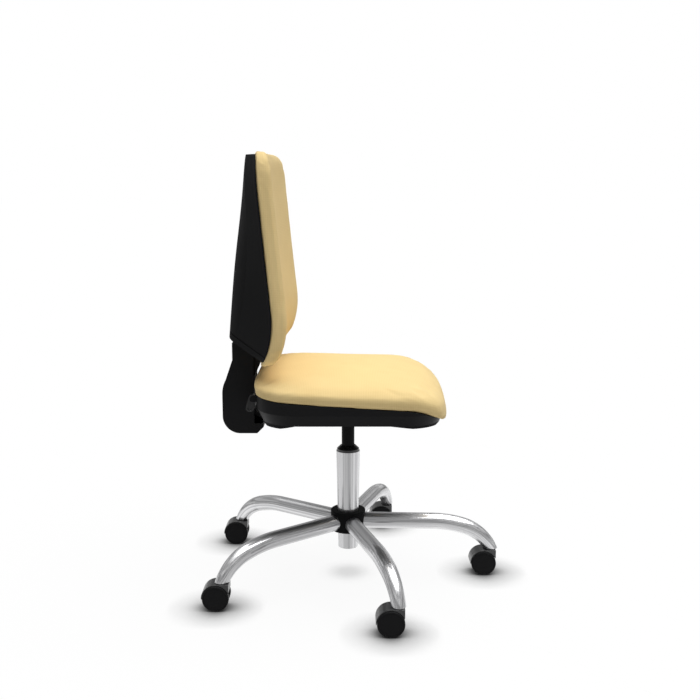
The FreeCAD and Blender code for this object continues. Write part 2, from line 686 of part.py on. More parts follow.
def mechanism_housing():
    """Pressed steel channel with bolting flanges, open at the top and at the rear."""
    half = MECH_HALF_WIDTH
    inner = half - MECH_WALL
    top = SEAT_BOARD_BOTTOM
    housing = block(-half, half, MECH_FRONT, MECH_REAR, MECH_BOTTOM, top)
    flange = block(-FLANGE_HALF_WIDTH, FLANGE_HALF_WIDTH, MECH_FRONT, MECH_REAR, top - MECH_WALL, top)
    housing = housing.fuse(flange)
    floor = MECH_BOTTOM + MECH_WALL
    housing = housing.cut(block(-inner, inner, MECH_FRONT + MECH_WALL, MECH_REAR, floor, top))
    housing = housing.cut(block(-inner, inner, MECH_FLOOR_REAR, MECH_REAR, MECH_BOTTOM, top))
    housing = housing.cut(disc(SOCKET_RADIUS, MECH_BOTTOM, top))
    housing = housing.cut(cross_pin(PIVOT_PIN_RADIUS, -half, half, PIVOT_Y, PIVOT_Z))
    for ear in lever_ears():
        housing = housing.fuse(ear)
    slot = LEVER_BOSS_HALF + SIDE_CLEARANCE
    housing = housing.cut(block(
        inner, half, -slot, slot, LEVER_PIVOT_Z - LEVER_EAR_HALF_HEIGHT, top - MECH_WALL,
    ))
    pin_start = vec(LEVER_PIVOT_X, -half, LEVER_PIVOT_Z)
    housing = housing.cut(Part.makeCylinder(LEVER_PIN_RADIUS, 2 * half, pin_start, Y_AXIS))
    for x, y in seat_bolt_places():
        housing = housing.cut(disc(SEAT_BOLT_RADIUS, top - MECH_WALL, top, x, y))
    return housing.removeSplitter()


def pivot_pin():
    """Pin across the housing that the back bar turns on."""
    reach = MECH_HALF_WIDTH + PIVOT_PIN_PROUD
    return cross_pin(PIVOT_PIN_RADIUS, -reach, reach, PIVOT_Y, PIVOT_Z)


def seat_bolts():
    """Four bolts from the flanges up into the seat board."""
    flange = SEAT_BOARD_BOTTOM - MECH_WALL
    bolts = []
    for x, y in seat_bolt_places():
        shank = disc(SEAT_BOLT_RADIUS, flange, SEAT_BOARD_BOTTOM + SEAT_BOLT_BITE, x, y)
        head = disc(SEAT_BOLT_HEAD_RADIUS, flange - SEAT_BOLT_HEAD, flange, x, y)
        bolts.append(shank.fuse(head).removeSplitter())
    return Part.makeCompound(bolts)


def biarc(start, start_way, end, end_way):
    """Two tangent arcs between two points with given unit directions."""
    chord = end - start
    ways = start_way + end_way
    bend = 2 * (1 - start_way.dot(end_way))
    reach = (math.sqrt(chord.dot(ways) ** 2 + bend * chord.dot(chord)) - chord.dot(ways)) / bend
    first_corner = start + start_way * reach
    last_corner = end - end_way * reach
    joint = (first_corner + last_corner) * 0.5
    return [
        tangent_arc(start, start_way, joint),
        tangent_arc(joint, last_corner - first_corner, end),
    ]


def torsion_spring(inner_x):
    """Coil round the pivot pin, wound away from the knuckle on the pin's positive end."""
    radius = PIVOT_PIN_RADIUS + SPRING_CLEARANCE + SPRING_WIRE_RADIUS

    def place(turn):
        angle = 2 * math.pi * turn
        return vec(
            inner_x + SPRING_WIRE_RADIUS + SPRING_PITCH * turn,
            PIVOT_Y + radius * math.cos(angle),
            PIVOT_Z + radius * math.sin(angle),
        )

    def way(turn):
        angle = 2 * math.pi * turn
        rate = 2 * math.pi * radius
        return vec(SPRING_PITCH, -rate * math.sin(angle), rate * math.cos(angle)).normalize()

    edges = []
    for quarter in range(4 * SPRING_TURNS):
        a = quarter / 4
        b = (quarter + 1) / 4
        edges += biarc(place(a), way(a), place(b), way(b))
    section = Part.Wire(Part.makeCircle(SPRING_WIRE_RADIUS, place(0), way(0)))
    return Part.Wire(edges).makePipeShell([section], True, False)


def tilt_springs():
    """A torsion spring on each side of the bar's knuckle."""
    spring = torsion_spring(KNUCKLE_HALF_WIDTH + SIDE_CLEARANCE)
    return Part.makeCompound([spring, spring.mirror(vec(0, 0, 0), X_AXIS)])


# Height lever

def lever_points():
    """Bends of the lever's rod as (x, z), from its nose over the valve to the grip."""
    low = LEVER_NOSE_Z - LEVER_DROP
    return (
        (0.0, LEVER_NOSE_Z),
        (LEVER_KNEE_X, LEVER_NOSE_Z),
        (LEVER_ELBOW_X, low),
        (LEVER_GRIP_START + LEVER_GRIP_LENGTH / 2, low),
    )


def along_y(radius, half_length, x, z):
    """Cylinder along Y, centred on the chair's middle plane."""
    return Part.makeCylinder(radius, 2 * half_length, vec(x, -half_length, z), Y_AXIS)


def height_lever():
    """Bent steel rod with a round nose over the valve pin and a pivot boss."""
    corners = [vec(x, 0, z) for x, z in lever_points()]
    rod = Part.makeSphere(LEVER_NOSE_RADIUS, corners[0])
    for a, b in zip(corners, corners[1:]):
        rod = rod.fuse(Part.makeCylinder(LEVER_ROD_RADIUS, (b - a).Length, a, b - a))
    for corner in corners[1:-1]:
        rod = rod.fuse(Part.makeSphere(LEVER_ROD_RADIUS, corner))
    rod = rod.fuse(along_y(LEVER_BOSS_RADIUS, LEVER_BOSS_HALF, LEVER_PIVOT_X, LEVER_PIVOT_Z))
    bore = LEVER_PIN_RADIUS + RUNNING_CLEARANCE
    return rod.cut(along_y(bore, LEVER_BOSS_HALF, LEVER_PIVOT_X, LEVER_PIVOT_Z)).removeSplitter()


def lever_grip():
    """Moulded flat grip on the lever's outer end."""
    low = lever_points()[-1][1]
    end = LEVER_GRIP_START + LEVER_GRIP_LENGTH
    half = LEVER_GRIP_WIDTH / 2
    deep = LEVER_GRIP_THICKNESS / 2
    grip = block(LEVER_GRIP_START, end, -half, half, low - deep, low + deep)
    grip = grip.makeFillet(LEVER_GRIP_ROUND, grip.Edges)
    seat = vec(LEVER_GRIP_START, 0, low)
    return grip.cut(Part.makeCylinder(LEVER_ROD_RADIUS, LEVER_GRIP_LENGTH / 2, seat, X_AXIS))


def lever_pin():
    """Pin through the two ears that the height lever turns on."""
    half = LEVER_BOSS_HALF + SIDE_CLEARANCE + LEVER_EAR_THICKNESS
    return along_y(LEVER_PIN_RADIUS, half, LEVER_PIVOT_X, LEVER_PIVOT_Z)


# Seat

COVER_HALF_WIDTH = CUSHION_HALF_WIDTH - COVER_SIDE_INSET
COVER_FRONT = CUSHION_FRONT + COVER_FRONT_INSET
COVER_REAR = CUSHION_REAR - COVER_REAR_INSET
COVER_BOTTOM = SEAT_BOARD_BOTTOM - COVER_BOTTOM_BELOW_BOARD
COVER_CREASE = COVER_BOTTOM + COVER_CREASE_HEIGHT
CUSHION_TOP = SEAT_BOARD_BOTTOM + CUSHION_TOP_ABOVE_BOARD
SEAT_SPACE = CUSHION_TOP + CUSHION_HALF_WIDTH


def rim_points():
    """Side view of the line between cushion and cover: rear end, start of the front dip, front end."""
    return (
        vec(0, CUSHION_REAR, SEAT_BOARD_BOTTOM + RIM_REAR_ABOVE_BOARD),
        vec(0, RIM_BREAK_Y, SEAT_BOARD_BOTTOM + RIM_BREAK_ABOVE_BOARD),
        vec(0, CUSHION_FRONT, SEAT_BOARD_BOTTOM + RIM_FRONT_ABOVE_BOARD),
    )


def rim_height(y):
    """Height of the rim line: straight at the rear, a circular dip at the front."""
    rear, dip, front = rim_points()
    slope = (rear.z - dip.z) / (rear.y - dip.y)
    if y >= dip.y:
        return dip.z + slope * (y - dip.y)
    centre, radius = tangent_circle(dip, dip - rear, front)
    return centre.z + math.sqrt(radius ** 2 - (y - centre.y) ** 2)


def above_rim():
    """Everything above the rim line, across the whole seat."""
    rear, dip, front = rim_points()
    reach = CUSHION_HALF_WIDTH
    edges = [Part.LineSegment(rear, dip).toShape(), tangent_arc(dip, dip - rear, front)]
    slope = (rear.z - dip.z) / (rear.y - dip.y)
    edges += side_lines((
        (front.y, front.z),
        (front.y - reach, front.z),
        (front.y - reach, SEAT_SPACE),
        (rear.y + reach, SEAT_SPACE),
        (rear.y + reach, rear.z + slope * reach),
        (rear.y, rear.z),
    ))
    return side_prism(edges, 2 * CUSHION_HALF_WIDTH)


def cover_floor(inset, z):
    """Outline of the pan's floor, smaller by inset, at a height."""
    step = COVER_BOTTOM_INSET + inset
    front = COVER_FRONT + step
    rear = COVER_REAR - step
    return rounded_plan(COVER_HALF_WIDTH - step, front, rear, COVER_CORNER - step, z)


def cover_solid(inset):
    """The pan's outer form, smaller by inset: a slanted lower band and an upright upper band."""
    half = COVER_HALF_WIDTH - inset
    front = COVER_FRONT + inset
    rear = COVER_REAR - inset
    corner = COVER_CORNER - inset
    low = cover_floor(inset, COVER_BOTTOM + inset)
    crease = rounded_plan(half, front, rear, corner, COVER_CREASE)
    band = Part.makeLoft([low, crease], True, True)
    upright = Part.Face(crease).extrude(vec(0, 0, SEAT_SPACE - COVER_CREASE))
    return band.fuse(upright)


def cover_lip(edge, inwards, flat, run_out, drop):
    """Solid lip under the pan's floor that starts at its edge, falls, runs level and fades out inwards."""
    low = COVER_BOTTOM - drop
    fallen = edge + inwards * LIP_EDGE
    level_end = fallen + inwards * flat
    outline = side_lines((
        (edge, COVER_BOTTOM),
        (fallen, low),
        (level_end, low),
        (level_end + inwards * run_out, COVER_BOTTOM),
        (edge, COVER_BOTTOM),
    ))
    below_floor = Part.Face(cover_floor(0, low)).extrude(vec(0, 0, drop))
    return below_floor.common(side_prism(outline, COVER_HALF_WIDTH))


def arm_mount_places():
    """Hole positions for a pair of armrests: two in a line on each side."""
    half = ARM_MOUNT_SPACING / 2
    return [(x, y) for x in (-ARM_MOUNT_X, ARM_MOUNT_X) for y in (-half, half)]


def cover_screw_places():
    """The four screws that hold the cover to the seat board."""
    return [(x, y) for x in (-COVER_SCREW_X, COVER_SCREW_X) for y in (COVER_SCREW_FRONT, COVER_SCREW_REAR)]


PADDLE_PIVOT_Y = COVER_REAR + PADDLE_BEHIND_COVER
PADDLE_PIVOT_Z = SEAT_BOARD_BOTTOM + PADDLE_PIVOT_ABOVE_BOARD
PADDLE_LUG_INNER = PADDLE_WIDTH / 2 + SIDE_CLEARANCE
PADDLE_LUG_OUTER = PADDLE_LUG_INNER + PADDLE_LUG_THICKNESS
PADDLE_PIN_REACH = PADDLE_LUG_OUTER - PADDLE_LUG_SKIN


def seat_cover():
    """Moulded pan under the seat: lips, bosses, an opening for the mechanism and the paddle's lugs."""
    pan = cover_solid(0).cut(cover_solid(COVER_WALL)).cut(above_rim())
    opening = MECH_HALF_WIDTH + COVER_OPENING_MARGIN
    front = MECH_FRONT - COVER_OPENING_MARGIN
    rear = MECH_REAR + COVER_OPENING_MARGIN
    pan = pan.cut(block(-opening, opening, front, rear, COVER_BOTTOM, COVER_BOTTOM + COVER_WALL))
    rear_edge = COVER_REAR - COVER_BOTTOM_INSET
    front_edge = COVER_FRONT + COVER_BOTTOM_INSET
    pan = pan.fuse(cover_lip(rear_edge, -1, LIP_REAR_FLAT, LIP_REAR_RUN_OUT, LIP_REAR_DROP))
    pan = pan.fuse(cover_lip(front_edge, 1, LIP_FRONT_FLAT, LIP_FRONT_RUN_OUT, LIP_FRONT_DROP))
    for x, y in arm_mount_places():
        pan = pan.fuse(disc(ARM_MOUNT_BOSS_RADIUS, COVER_BOTTOM, SEAT_BOARD_BOTTOM, x, y))
        pan = pan.cut(disc(ARM_MOUNT_HOLE_RADIUS, COVER_BOTTOM, SEAT_BOARD_BOTTOM, x, y))
    for x, y in cover_screw_places():
        pan = pan.fuse(disc(COVER_SCREW_BOSS_RADIUS, COVER_BOTTOM, SEAT_BOARD_BOTTOM, x, y))
        pan = pan.cut(disc(COVER_SCREW_RADIUS, COVER_BOTTOM, SEAT_BOARD_BOTTOM, x, y))
    for start in (-PADDLE_LUG_OUTER, PADDLE_LUG_INNER):
        x = PADDLE_CENTRE_X + start
        lug = block(x, x + PADDLE_LUG_THICKNESS, COVER_REAR - COVER_WALL, PADDLE_PIVOT_Y,
                    PADDLE_PIVOT_Z - PADDLE_LUG_RADIUS, PADDLE_PIVOT_Z + PADDLE_LUG_RADIUS)
        nose = cross_pin(PADDLE_LUG_RADIUS, x, x + PADDLE_LUG_THICKNESS, PADDLE_PIVOT_Y, PADDLE_PIVOT_Z)
        pan = pan.fuse(lug.fuse(nose))
    return pan.cut(paddle_pin()).removeSplitter()


def seat_board():
    """Plywood board with holes for the bolts, the cover's screws and the armrest mounts."""
    inset = COVER_WALL + SEAT_BOARD_INSET
    plan = rounded_plan(COVER_HALF_WIDTH - inset, COVER_FRONT + inset, COVER_REAR - inset,
                        COVER_CORNER - inset, SEAT_BOARD_BOTTOM)
    board = Part.Face(plan).extrude(vec(0, 0, SEAT_BOARD_THICKNESS))
    for radius, depth, places in (
        (SEAT_BOLT_RADIUS, SEAT_BOLT_BITE, seat_bolt_places()),
        (COVER_SCREW_RADIUS, COVER_SCREW_BITE, cover_screw_places()),
        (ARM_MOUNT_HOLE_RADIUS, SEAT_BOARD_THICKNESS, arm_mount_places()),
    ):
        for x, y in places:
            board = board.cut(disc(radius, SEAT_BOARD_BOTTOM, SEAT_BOARD_BOTTOM + depth, x, y))
    return board


def seat_cover_screws():
    """Four pan-head screws from below the cover into the seat board."""
    screws = []
    for x, y in cover_screw_places():
        shank = disc(COVER_SCREW_RADIUS, COVER_BOTTOM, SEAT_BOARD_BOTTOM + COVER_SCREW_BITE, x, y)
        head = disc(COVER_SCREW_HEAD_RADIUS, COVER_BOTTOM - COVER_SCREW_HEAD, COVER_BOTTOM, x, y)
        screws.append(shank.fuse(head).removeSplitter())
    return Part.makeCompound(screws)


def cushion_section(share):
    """Cross-section of the cushion: flat below, bulging sides and a crowned top."""
    middle = (CUSHION_FRONT + CUSHION_REAR) / 2
    y = middle + share * (CUSHION_REAR - CUSHION_FRONT) / 2
    half = CUSHION_HALF_WIDTH * dome(share, CUSHION_PLAN_POWER)
    rim = rim_height(y)
    fall = dome(share, CUSHION_TOP_POWER)
    height = (CUSHION_TOP - rim) * fall
    low = half - CUSHION_TUCK * fall
    shoulder = half - CUSHION_EDGE_ROUND * fall
    right_low = vec(low, y, rim - CUSHION_SKIRT * fall)
    right_bulge = vec(half, y, rim + CUSHION_BULGE * height)
    right_top = vec(shoulder, y, rim + CUSHION_SHOULDER * height)
    crown = vec(0, y, rim + height)
    left_top = vec(-shoulder, y, right_top.z)
    left_bulge = vec(-half, y, right_bulge.z)
    left_low = vec(-low, y, right_low.z)
    return Part.Wire([
        Part.LineSegment(left_low, right_low).toShape(),
        Part.Arc(right_low, right_bulge, right_top).toShape(),
        Part.Arc(right_top, crown, left_top).toShape(),
        Part.Arc(left_top, left_bulge, left_low).toShape(),
    ])


def both_ways(stations):
    """Stations from the middle outwards, repeated on the other side of the middle."""
    return [-share for share in reversed(stations[1:])] + list(stations)


def seat_cushion():
    """Foam and fabric: a crowned upper form on the rim line, and a core that fills the pan."""
    upper = Part.makeLoft([cushion_section(share) for share in both_ways(CUSHION_STATIONS)], True, False)
    upper = upper.common(above_rim())
    inset = COVER_WALL + CORE_CLEARANCE
    plan = rounded_plan(COVER_HALF_WIDTH - inset, COVER_FRONT + inset, COVER_REAR - inset,
                        COVER_CORNER - inset, SEAT_BOARD_TOP)
    core = Part.Face(plan).extrude(vec(0, 0, SEAT_SPACE - SEAT_BOARD_TOP)).cut(above_rim())
    board_space = Part.Face(plan).extrude(vec(0, 0, -SEAT_BOARD_THICKNESS))
    return upper.fuse(core).cut(board_space).removeSplitter()


# Tilt-release paddle

def stadium(radius):
    """Closed edges of the paddle's rounded side outline about its pivot and tip."""
    pivot = vec(0, PADDLE_PIVOT_Y, PADDLE_PIVOT_Z)
    tip = pivot + vec(0, PADDLE_TIP_BACK, -PADDLE_TIP_DROP)
    way = (tip - pivot).normalize()
    out = way.cross(X_AXIS) * radius
    return [
        Part.LineSegment(pivot + out, tip + out).toShape(),
        Part.Arc(tip + out, tip + way * radius, tip - out).toShape(),
        Part.LineSegment(tip - out, pivot - out).toShape(),
        Part.Arc(pivot - out, pivot - way * radius, pivot + out).toShape(),
    ]


def tilt_paddle():
    """Moulded tongue with a finger recess in its outer side."""
    half = PADDLE_WIDTH / 2
    paddle = side_prism(stadium(PADDLE_RADIUS), half, PADDLE_CENTRE_X)
    recess_middle = PADDLE_CENTRE_X - half + PADDLE_RECESS_DEPTH / 2
    paddle = paddle.cut(side_prism(stadium(PADDLE_RECESS_RADIUS), PADDLE_RECESS_DEPTH / 2, recess_middle))
    bore = PADDLE_PIN_RADIUS + RUNNING_CLEARANCE
    start = PADDLE_CENTRE_X - half
    return paddle.cut(cross_pin(bore, start, start + PADDLE_WIDTH, PADDLE_PIVOT_Y, PADDLE_PIVOT_Z))


def paddle_pin():
    """Pin between the cover's two lugs that the paddle turns on, closed in by their outer skins."""
    start = PADDLE_CENTRE_X - PADDLE_PIN_REACH
    end = PADDLE_CENTRE_X + PADDLE_PIN_REACH
    return cross_pin(PADDLE_PIN_RADIUS, start, end, PADDLE_PIVOT_Y, PADDLE_PIVOT_Z)


def lever_pins():
    """The two pins that the height lever and the paddle turn on."""
    return Part.makeCompound([lever_pin(), paddle_pin()])


# Back bar and covers, built with the recline axis at height 0

BAR_FRONT = BAR_Y - BAR_THICKNESS / 2
BAR_REAR = BAR_Y + BAR_THICKNESS / 2
BAR_LOW = -BAR_THICKNESS
BOOT_FRONT = BAR_FRONT - FRONT_COVER_WALL
BEND_CENTRE_Y = BAR_Y - BAR_BEND_RADIUS
BEND_CENTRE_Z = BAR_LOW + BAR_THICKNESS / 2 + BAR_BEND_RADIUS


def bend_arc(radius):
    """Quarter bend of the bar's outline, from its level run to its upright."""
    diagonal = radius * math.sqrt(0.5)
    return Part.Arc(
        vec(0, BEND_CENTRE_Y, BEND_CENTRE_Z - radius),
        vec(0, BEND_CENTRE_Y + diagonal, BEND_CENTRE_Z - diagonal),
        vec(0, BEND_CENTRE_Y + radius, BEND_CENTRE_Z),
    ).toShape()


def back_bar():
    """Flat steel bar bent to a J, with the pivot knuckle at its front end."""
    outer = BAR_BEND_RADIUS + BAR_THICKNESS / 2
    inner = BAR_BEND_RADIUS - BAR_THICKNESS / 2
    edges = [bend_arc(outer), bend_arc(inner)]
    edges += side_lines((
        (BAR_REAR, BEND_CENTRE_Z),
        (BAR_REAR, BAR_TOP),
        (BAR_FRONT, BAR_TOP),
        (BAR_FRONT, BEND_CENTRE_Z),
    ))
    edges += side_lines((
        (BEND_CENTRE_Y, BAR_LOW + BAR_THICKNESS),
        (PIVOT_Y, BAR_LOW + BAR_THICKNESS),
        (PIVOT_Y, BAR_LOW),
        (BEND_CENTRE_Y, BAR_LOW),
    ))
    bar = side_prism(Part.__sortEdges__(edges), BAR_HALF_WIDTH)
    spring_space = KNUCKLE_HALF_WIDTH
    reach = PIVOT_Y + KNUCKLE_RADIUS + SPRING_WIRE_RADIUS
    for start in (-BAR_HALF_WIDTH, spring_space):
        bar = bar.cut(block(start, start + BAR_HALF_WIDTH - spring_space, PIVOT_Y, reach,
                            BAR_LOW, BAR_LOW + BAR_THICKNESS))
    bar = bar.fuse(cross_pin(KNUCKLE_RADIUS, -KNUCKLE_HALF_WIDTH, KNUCKLE_HALF_WIDTH, PIVOT_Y, 0))
    hole = PIVOT_PIN_RADIUS + RUNNING_CLEARANCE
    return bar.cut(cross_pin(hole, -KNUCKLE_HALF_WIDTH, KNUCKLE_HALF_WIDTH, PIVOT_Y, 0)).removeSplitter()


def bar_cover_front():
    """Moulded channel over the bar's front and edges, thicker above a step."""
    low = BAR_FRONT - FRONT_COVER_WALL
    high = BAR_FRONT - FRONT_COVER_UPPER_WALL
    edges = side_lines((
        (BAR_REAR, FRONT_COVER_BOTTOM),
        (low, FRONT_COVER_BOTTOM),
        (low, FRONT_COVER_STEP),
        (high, FRONT_COVER_STEP + FRONT_COVER_STEP_HEIGHT),
        (high, NECK_TOP),
        (BAR_REAR, NECK_TOP),
        (BAR_REAR, FRONT_COVER_BOTTOM),
    ))
    half = BAR_HALF_WIDTH
    channel = block(-half, half, BAR_FRONT, BAR_REAR, FRONT_COVER_BOTTOM, NECK_TOP)
    return side_prism(edges, FRONT_COVER_HALF_WIDTH).cut(channel)


def boot_outline(inset):
    """Closed edges of the rear cover's side outline, smaller by inset on its outer side."""
    front = BOOT_FRONT
    level = BAR_LOW - BOOT_STANDOFF
    bulge = vec(0, BOOT_BULGE_REAR - inset, BOOT_BULGE)
    heel = vec(0, BOOT_REAR - inset, BOOT_HEEL)
    rear_top = vec(0, BOOT_REAR - inset, BOOT_REAR_TOP)
    sole = vec(0, BOOT_REAR - (BOOT_HEEL - BOOT_BOTTOM), BOOT_BOTTOM + inset)
    waist = (BOOT_UPPER_REAR - inset, BOOT_WAIST)
    edges = side_lines((
        (front, BOOT_SHOULDER - inset),
        (BOOT_UPPER_REAR - inset, BOOT_SHOULDER - inset),
        waist,
        (bulge.y, bulge.z),
    ))
    edges.append(tangent_arc(rear_top, Z_AXIS, bulge))
    edges += side_lines(((rear_top.y, rear_top.z), (heel.y, heel.z)))
    edges.append(tangent_arc(heel, vec(0, 0, -1), sole))
    edges += side_lines((
        (sole.y, sole.z),
        (BOOT_TOE_Y + BOOT_TOE_RISE + inset, sole.z),
        (BOOT_TOE_Y + inset, sole.z + BOOT_TOE_RISE),
        (BOOT_TOE_Y + inset, level),
        (front, level),
        (front, BOOT_SHOULDER - inset),
    ))
    return Part.__sortEdges__(edges)


def bar_cover_rear():
    """Hollow boot round the bar's bend, open to the front, with ribs on the bar and a neck into the shell."""
    boot = side_prism(boot_outline(0), BOOT_HALF_WIDTH)
    boot = boot.cut(side_prism(boot_outline(BOOT_WALL), BOOT_HALF_WIDTH - BOOT_WALL))
    slot = FRONT_COVER_HALF_WIDTH + SIDE_CLEARANCE
    boot = boot.cut(block(-slot, slot, BOOT_FRONT, BAR_REAR, BOOT_SHOULDER - BOOT_WALL, BOOT_SHOULDER))
    outer = side_prism(boot_outline(0), BOOT_HALF_WIDTH - BOOT_WALL)
    for z in BOOT_RIBS:
        rib = block(-BAR_HALF_WIDTH, BAR_HALF_WIDTH, BAR_REAR, BOOT_REAR, z, z + BOOT_RIB_THICKNESS)
        boot = boot.fuse(rib.common(outer))
    neck = block(-NECK_HALF_WIDTH, NECK_HALF_WIDTH, BAR_REAR, NECK_REAR, BOOT_SHOULDER - BOOT_WALL, NECK_TOP)
    inner = NECK_HALF_WIDTH - BOOT_WALL
    hollow = block(-inner, inner, BAR_REAR, NECK_REAR - BOOT_WALL, BOOT_SHOULDER, NECK_TOP)
    lip = block(-BAR_HALF_WIDTH, BAR_HALF_WIDTH, BAR_REAR, NECK_REAR, NECK_TOP - BOOT_RIB_THICKNESS, NECK_TOP)
    return boot.fuse(neck.cut(hollow)).fuse(lip).removeSplitter()


# Back

def back_line_points():
    """Side view of the line between pad and shell: top, both ends of its straight middle, bottom."""
    return (
        vec(0, BACK_LINE_TOP_Y, BACK_TOP),
        vec(0, BACK_LINE_UPPER_Y, BACK_LINE_UPPER_Z),
        vec(0, BACK_LINE_BREAK_Y, BACK_LINE_BREAK_Z),
        vec(0, BACK_LINE_BOTTOM_Y, BACK_BOTTOM),
    )


def back_line(z):
    """Depth of the pad's rear face at its sides: straight, with a circular curve at each end."""
    top, upper, bend, bottom = back_line_points()
    if z > upper.z:
        centre, radius = tangent_circle(upper, upper - bend, top)
        return centre.y + math.sqrt(radius ** 2 - (z - centre.z) ** 2)
    if z < bend.z:
        centre, radius = tangent_circle(bend, bend - upper, bottom)
        return centre.y - math.sqrt(radius ** 2 - (z - centre.z) ** 2)
    return bend.y + (upper.y - bend.y) / (upper.z - bend.z) * (z - bend.z)


def back_depth(x, z):
    """Depth of the pad's rear face anywhere: on the back line at the sides, hollowed back in the middle."""
    radius = (BACK_HALF_WIDTH ** 2 + BACK_SAG ** 2) / (2 * BACK_SAG)
    return back_line(z) + BACK_SAG - radius + math.sqrt(radius ** 2 - x ** 2)


def behind_section(z, shift):
    """Level section of everything behind the pad's rear face."""
    reach = BACK_HALF_WIDTH + BACK_MARGIN
    deep = BACK_LINE_TOP_Y + BACK_HALF_WIDTH
    left, middle, right = [vec(x, back_depth(x, z) + shift, z) for x in (-reach, 0, reach)]
    corners = [right, vec(reach, deep, z), vec(-reach, deep, z), left]
    edges = [Part.Arc(left, middle, right).toShape()]
    edges += [Part.LineSegment(a, b).toShape() for a, b in zip(corners, corners[1:])]
    return Part.Wire(edges)


def behind_back(shift):
    """Everything behind the pad's rear face, moved backwards by shift."""
    top, upper, bend, bottom = back_line_points()
    solid = Part.makeLoft([behind_section(z, shift) for z in (bend.z, upper.z)], True, True)
    for low, high in ((bottom.z, bend.z), (upper.z, top.z)):
        heights = [low + share * (high - low) for share in (0, 1 / 3, 2 / 3, 1)]
        solid = solid.fuse(Part.makeLoft([behind_section(z, shift) for z in heights], True, False))
    return solid


def back_share(z):
    """Height on the back from -1 at its bottom to 1 at its top."""
    middle = (BACK_BOTTOM + BACK_TOP) / 2
    return (z - middle) / ((BACK_TOP - BACK_BOTTOM) / 2)


def pad_section(share):
    """Level section of the pad: rounded edges and a hollowed front, past the rear face behind."""
    half_height = (BACK_TOP - BACK_BOTTOM) / 2
    z = (BACK_BOTTOM + BACK_TOP) / 2 + share * half_height
    into_round = max(0, abs(share) * half_height - half_height + PAD_END_ROUND) / PAD_END_ROUND
    fall = dome(into_round, 2)
    half = BACK_HALF_WIDTH * dome(share, BACK_PLAN_POWER)
    thick = PAD_THICKNESS * fall
    rear = back_line(z)
    right_rear = vec(half - PAD_TUCK * fall, rear + PAD_SKIRT, z)
    right_bulge = vec(half, rear - PAD_BULGE * thick, z)
    right_front = vec(half - PAD_EDGE_ROUND * fall, rear - thick, z)
    hollow = vec(0, rear - thick + PAD_HOLLOW * fall, z)
    behind = vec(0, rear + BACK_SAG + PAD_SKIRT, z)
    left_front = vec(-right_front.x, right_front.y, z)
    left_bulge = vec(-half, right_bulge.y, z)
    left_rear = vec(-right_rear.x, right_rear.y, z)
    return Part.Wire([
        Part.Arc(left_rear, behind, right_rear).toShape(),
        Part.Arc(right_rear, right_bulge, right_front).toShape(),
        Part.Arc(right_front, hollow, left_front).toShape(),
        Part.Arc(left_front, left_bulge, left_rear).toShape(),
    ])


def board_plan():
    """Rounded front outline of the back board as a block through the back."""
    half = BACK_HALF_WIDTH - BACK_BOARD_INSET
    low = BACK_BOTTOM + BACK_BOARD_INSET
    plan = rounded_plan(half, low, BACK_TOP - BACK_BOARD_INSET, BACK_BOARD_CORNER, 0)
    prism = Part.Face(plan).extrude(vec(0, 0, BACK_HALF_WIDTH + BACK_LINE_TOP_Y))
    prism.rotate(vec(0, 0, 0), X_AXIS, 90)
    prism.translate(vec(0, BACK_HALF_WIDTH + BACK_LINE_TOP_Y, 0))
    return prism


def back_board():
    """Curved plywood panel let into the rear of the pad, with the carriage's screw holes."""
    panel = behind_back(-BACK_BOARD_THICKNESS).cut(behind_back(0)).common(board_plan())
    for x, z in back_screw_places():
        panel = panel.cut(screw_hole(x, z))
    return panel


def back_pad():
    """Foam and fabric: hollowed front, rounded edges, with a pocket for the board."""
    pad = Part.makeLoft([pad_section(share) for share in both_ways(PAD_STATIONS)], True, False)
    pad = pad.cut(behind_back(0))
    return pad.cut(behind_back(-BACK_BOARD_THICKNESS).common(board_plan()))


def shell_section(z, ridge_x, ridge_y, middle_y, inset):
    """Level section of the shell: open front, slanted flanks and a bowed rear panel."""
    half = BACK_HALF_WIDTH * dome(back_share(z), BACK_PLAN_POWER) - SHELL_INSET - inset
    front = back_line(z) - PAD_THICKNESS
    edge = back_line(z) + SHELL_EDGE_DEPTH
    ridge = vec(ridge_x - inset / 2, ridge_y - inset, z)
    points = [vec(-half, front, z), vec(half, front, z), vec(half, edge, z), ridge]
    edges = [Part.LineSegment(a, b).toShape() for a, b in zip(points, points[1:])]
    left_ridge = vec(-ridge.x, ridge.y, z)
    edges.append(Part.Arc(ridge, vec(0, middle_y - inset, z), left_ridge).toShape())
    points = [left_ridge, vec(-half, edge, z), vec(-half, front, z)]
    edges += [Part.LineSegment(a, b).toShape() for a, b in zip(points, points[1:])]
    return Part.Wire(edges)


def shell_form(inset):
    """The shell's outer form, smaller by inset."""
    sections = []
    for z, ridge_x, ridge_y, middle_y in SHELL_RIDGE:
        level = min(z, SHELL_RIDGE[-1][0] - inset)
        sections.append(shell_section(level, ridge_x, ridge_y, middle_y, inset))
    return Part.makeLoft(sections, True, False)


def above_shell_bottom(up):
    """Everything over the shell's slanted bottom plane, raised by up."""
    deep = BACK_LINE_TOP_Y + BACK_HALF_WIDTH
    near = SHELL_BOTTOM_FRONT_Y - BACK_HALF_WIDTH
    bottom = SHELL_BOTTOM_FRONT_Z + up
    rise = SHELL_BOTTOM_SLOPE
    edges = side_lines((
        (near, bottom + rise * (near - SHELL_BOTTOM_FRONT_Y)),
        (deep, bottom + rise * (deep - SHELL_BOTTOM_FRONT_Y)),
        (deep, 2 * BACK_TOP),
        (near, 2 * BACK_TOP),
        (near, bottom + rise * (near - SHELL_BOTTOM_FRONT_Y)),
    ))
    return side_prism(edges, 2 * BACK_HALF_WIDTH)


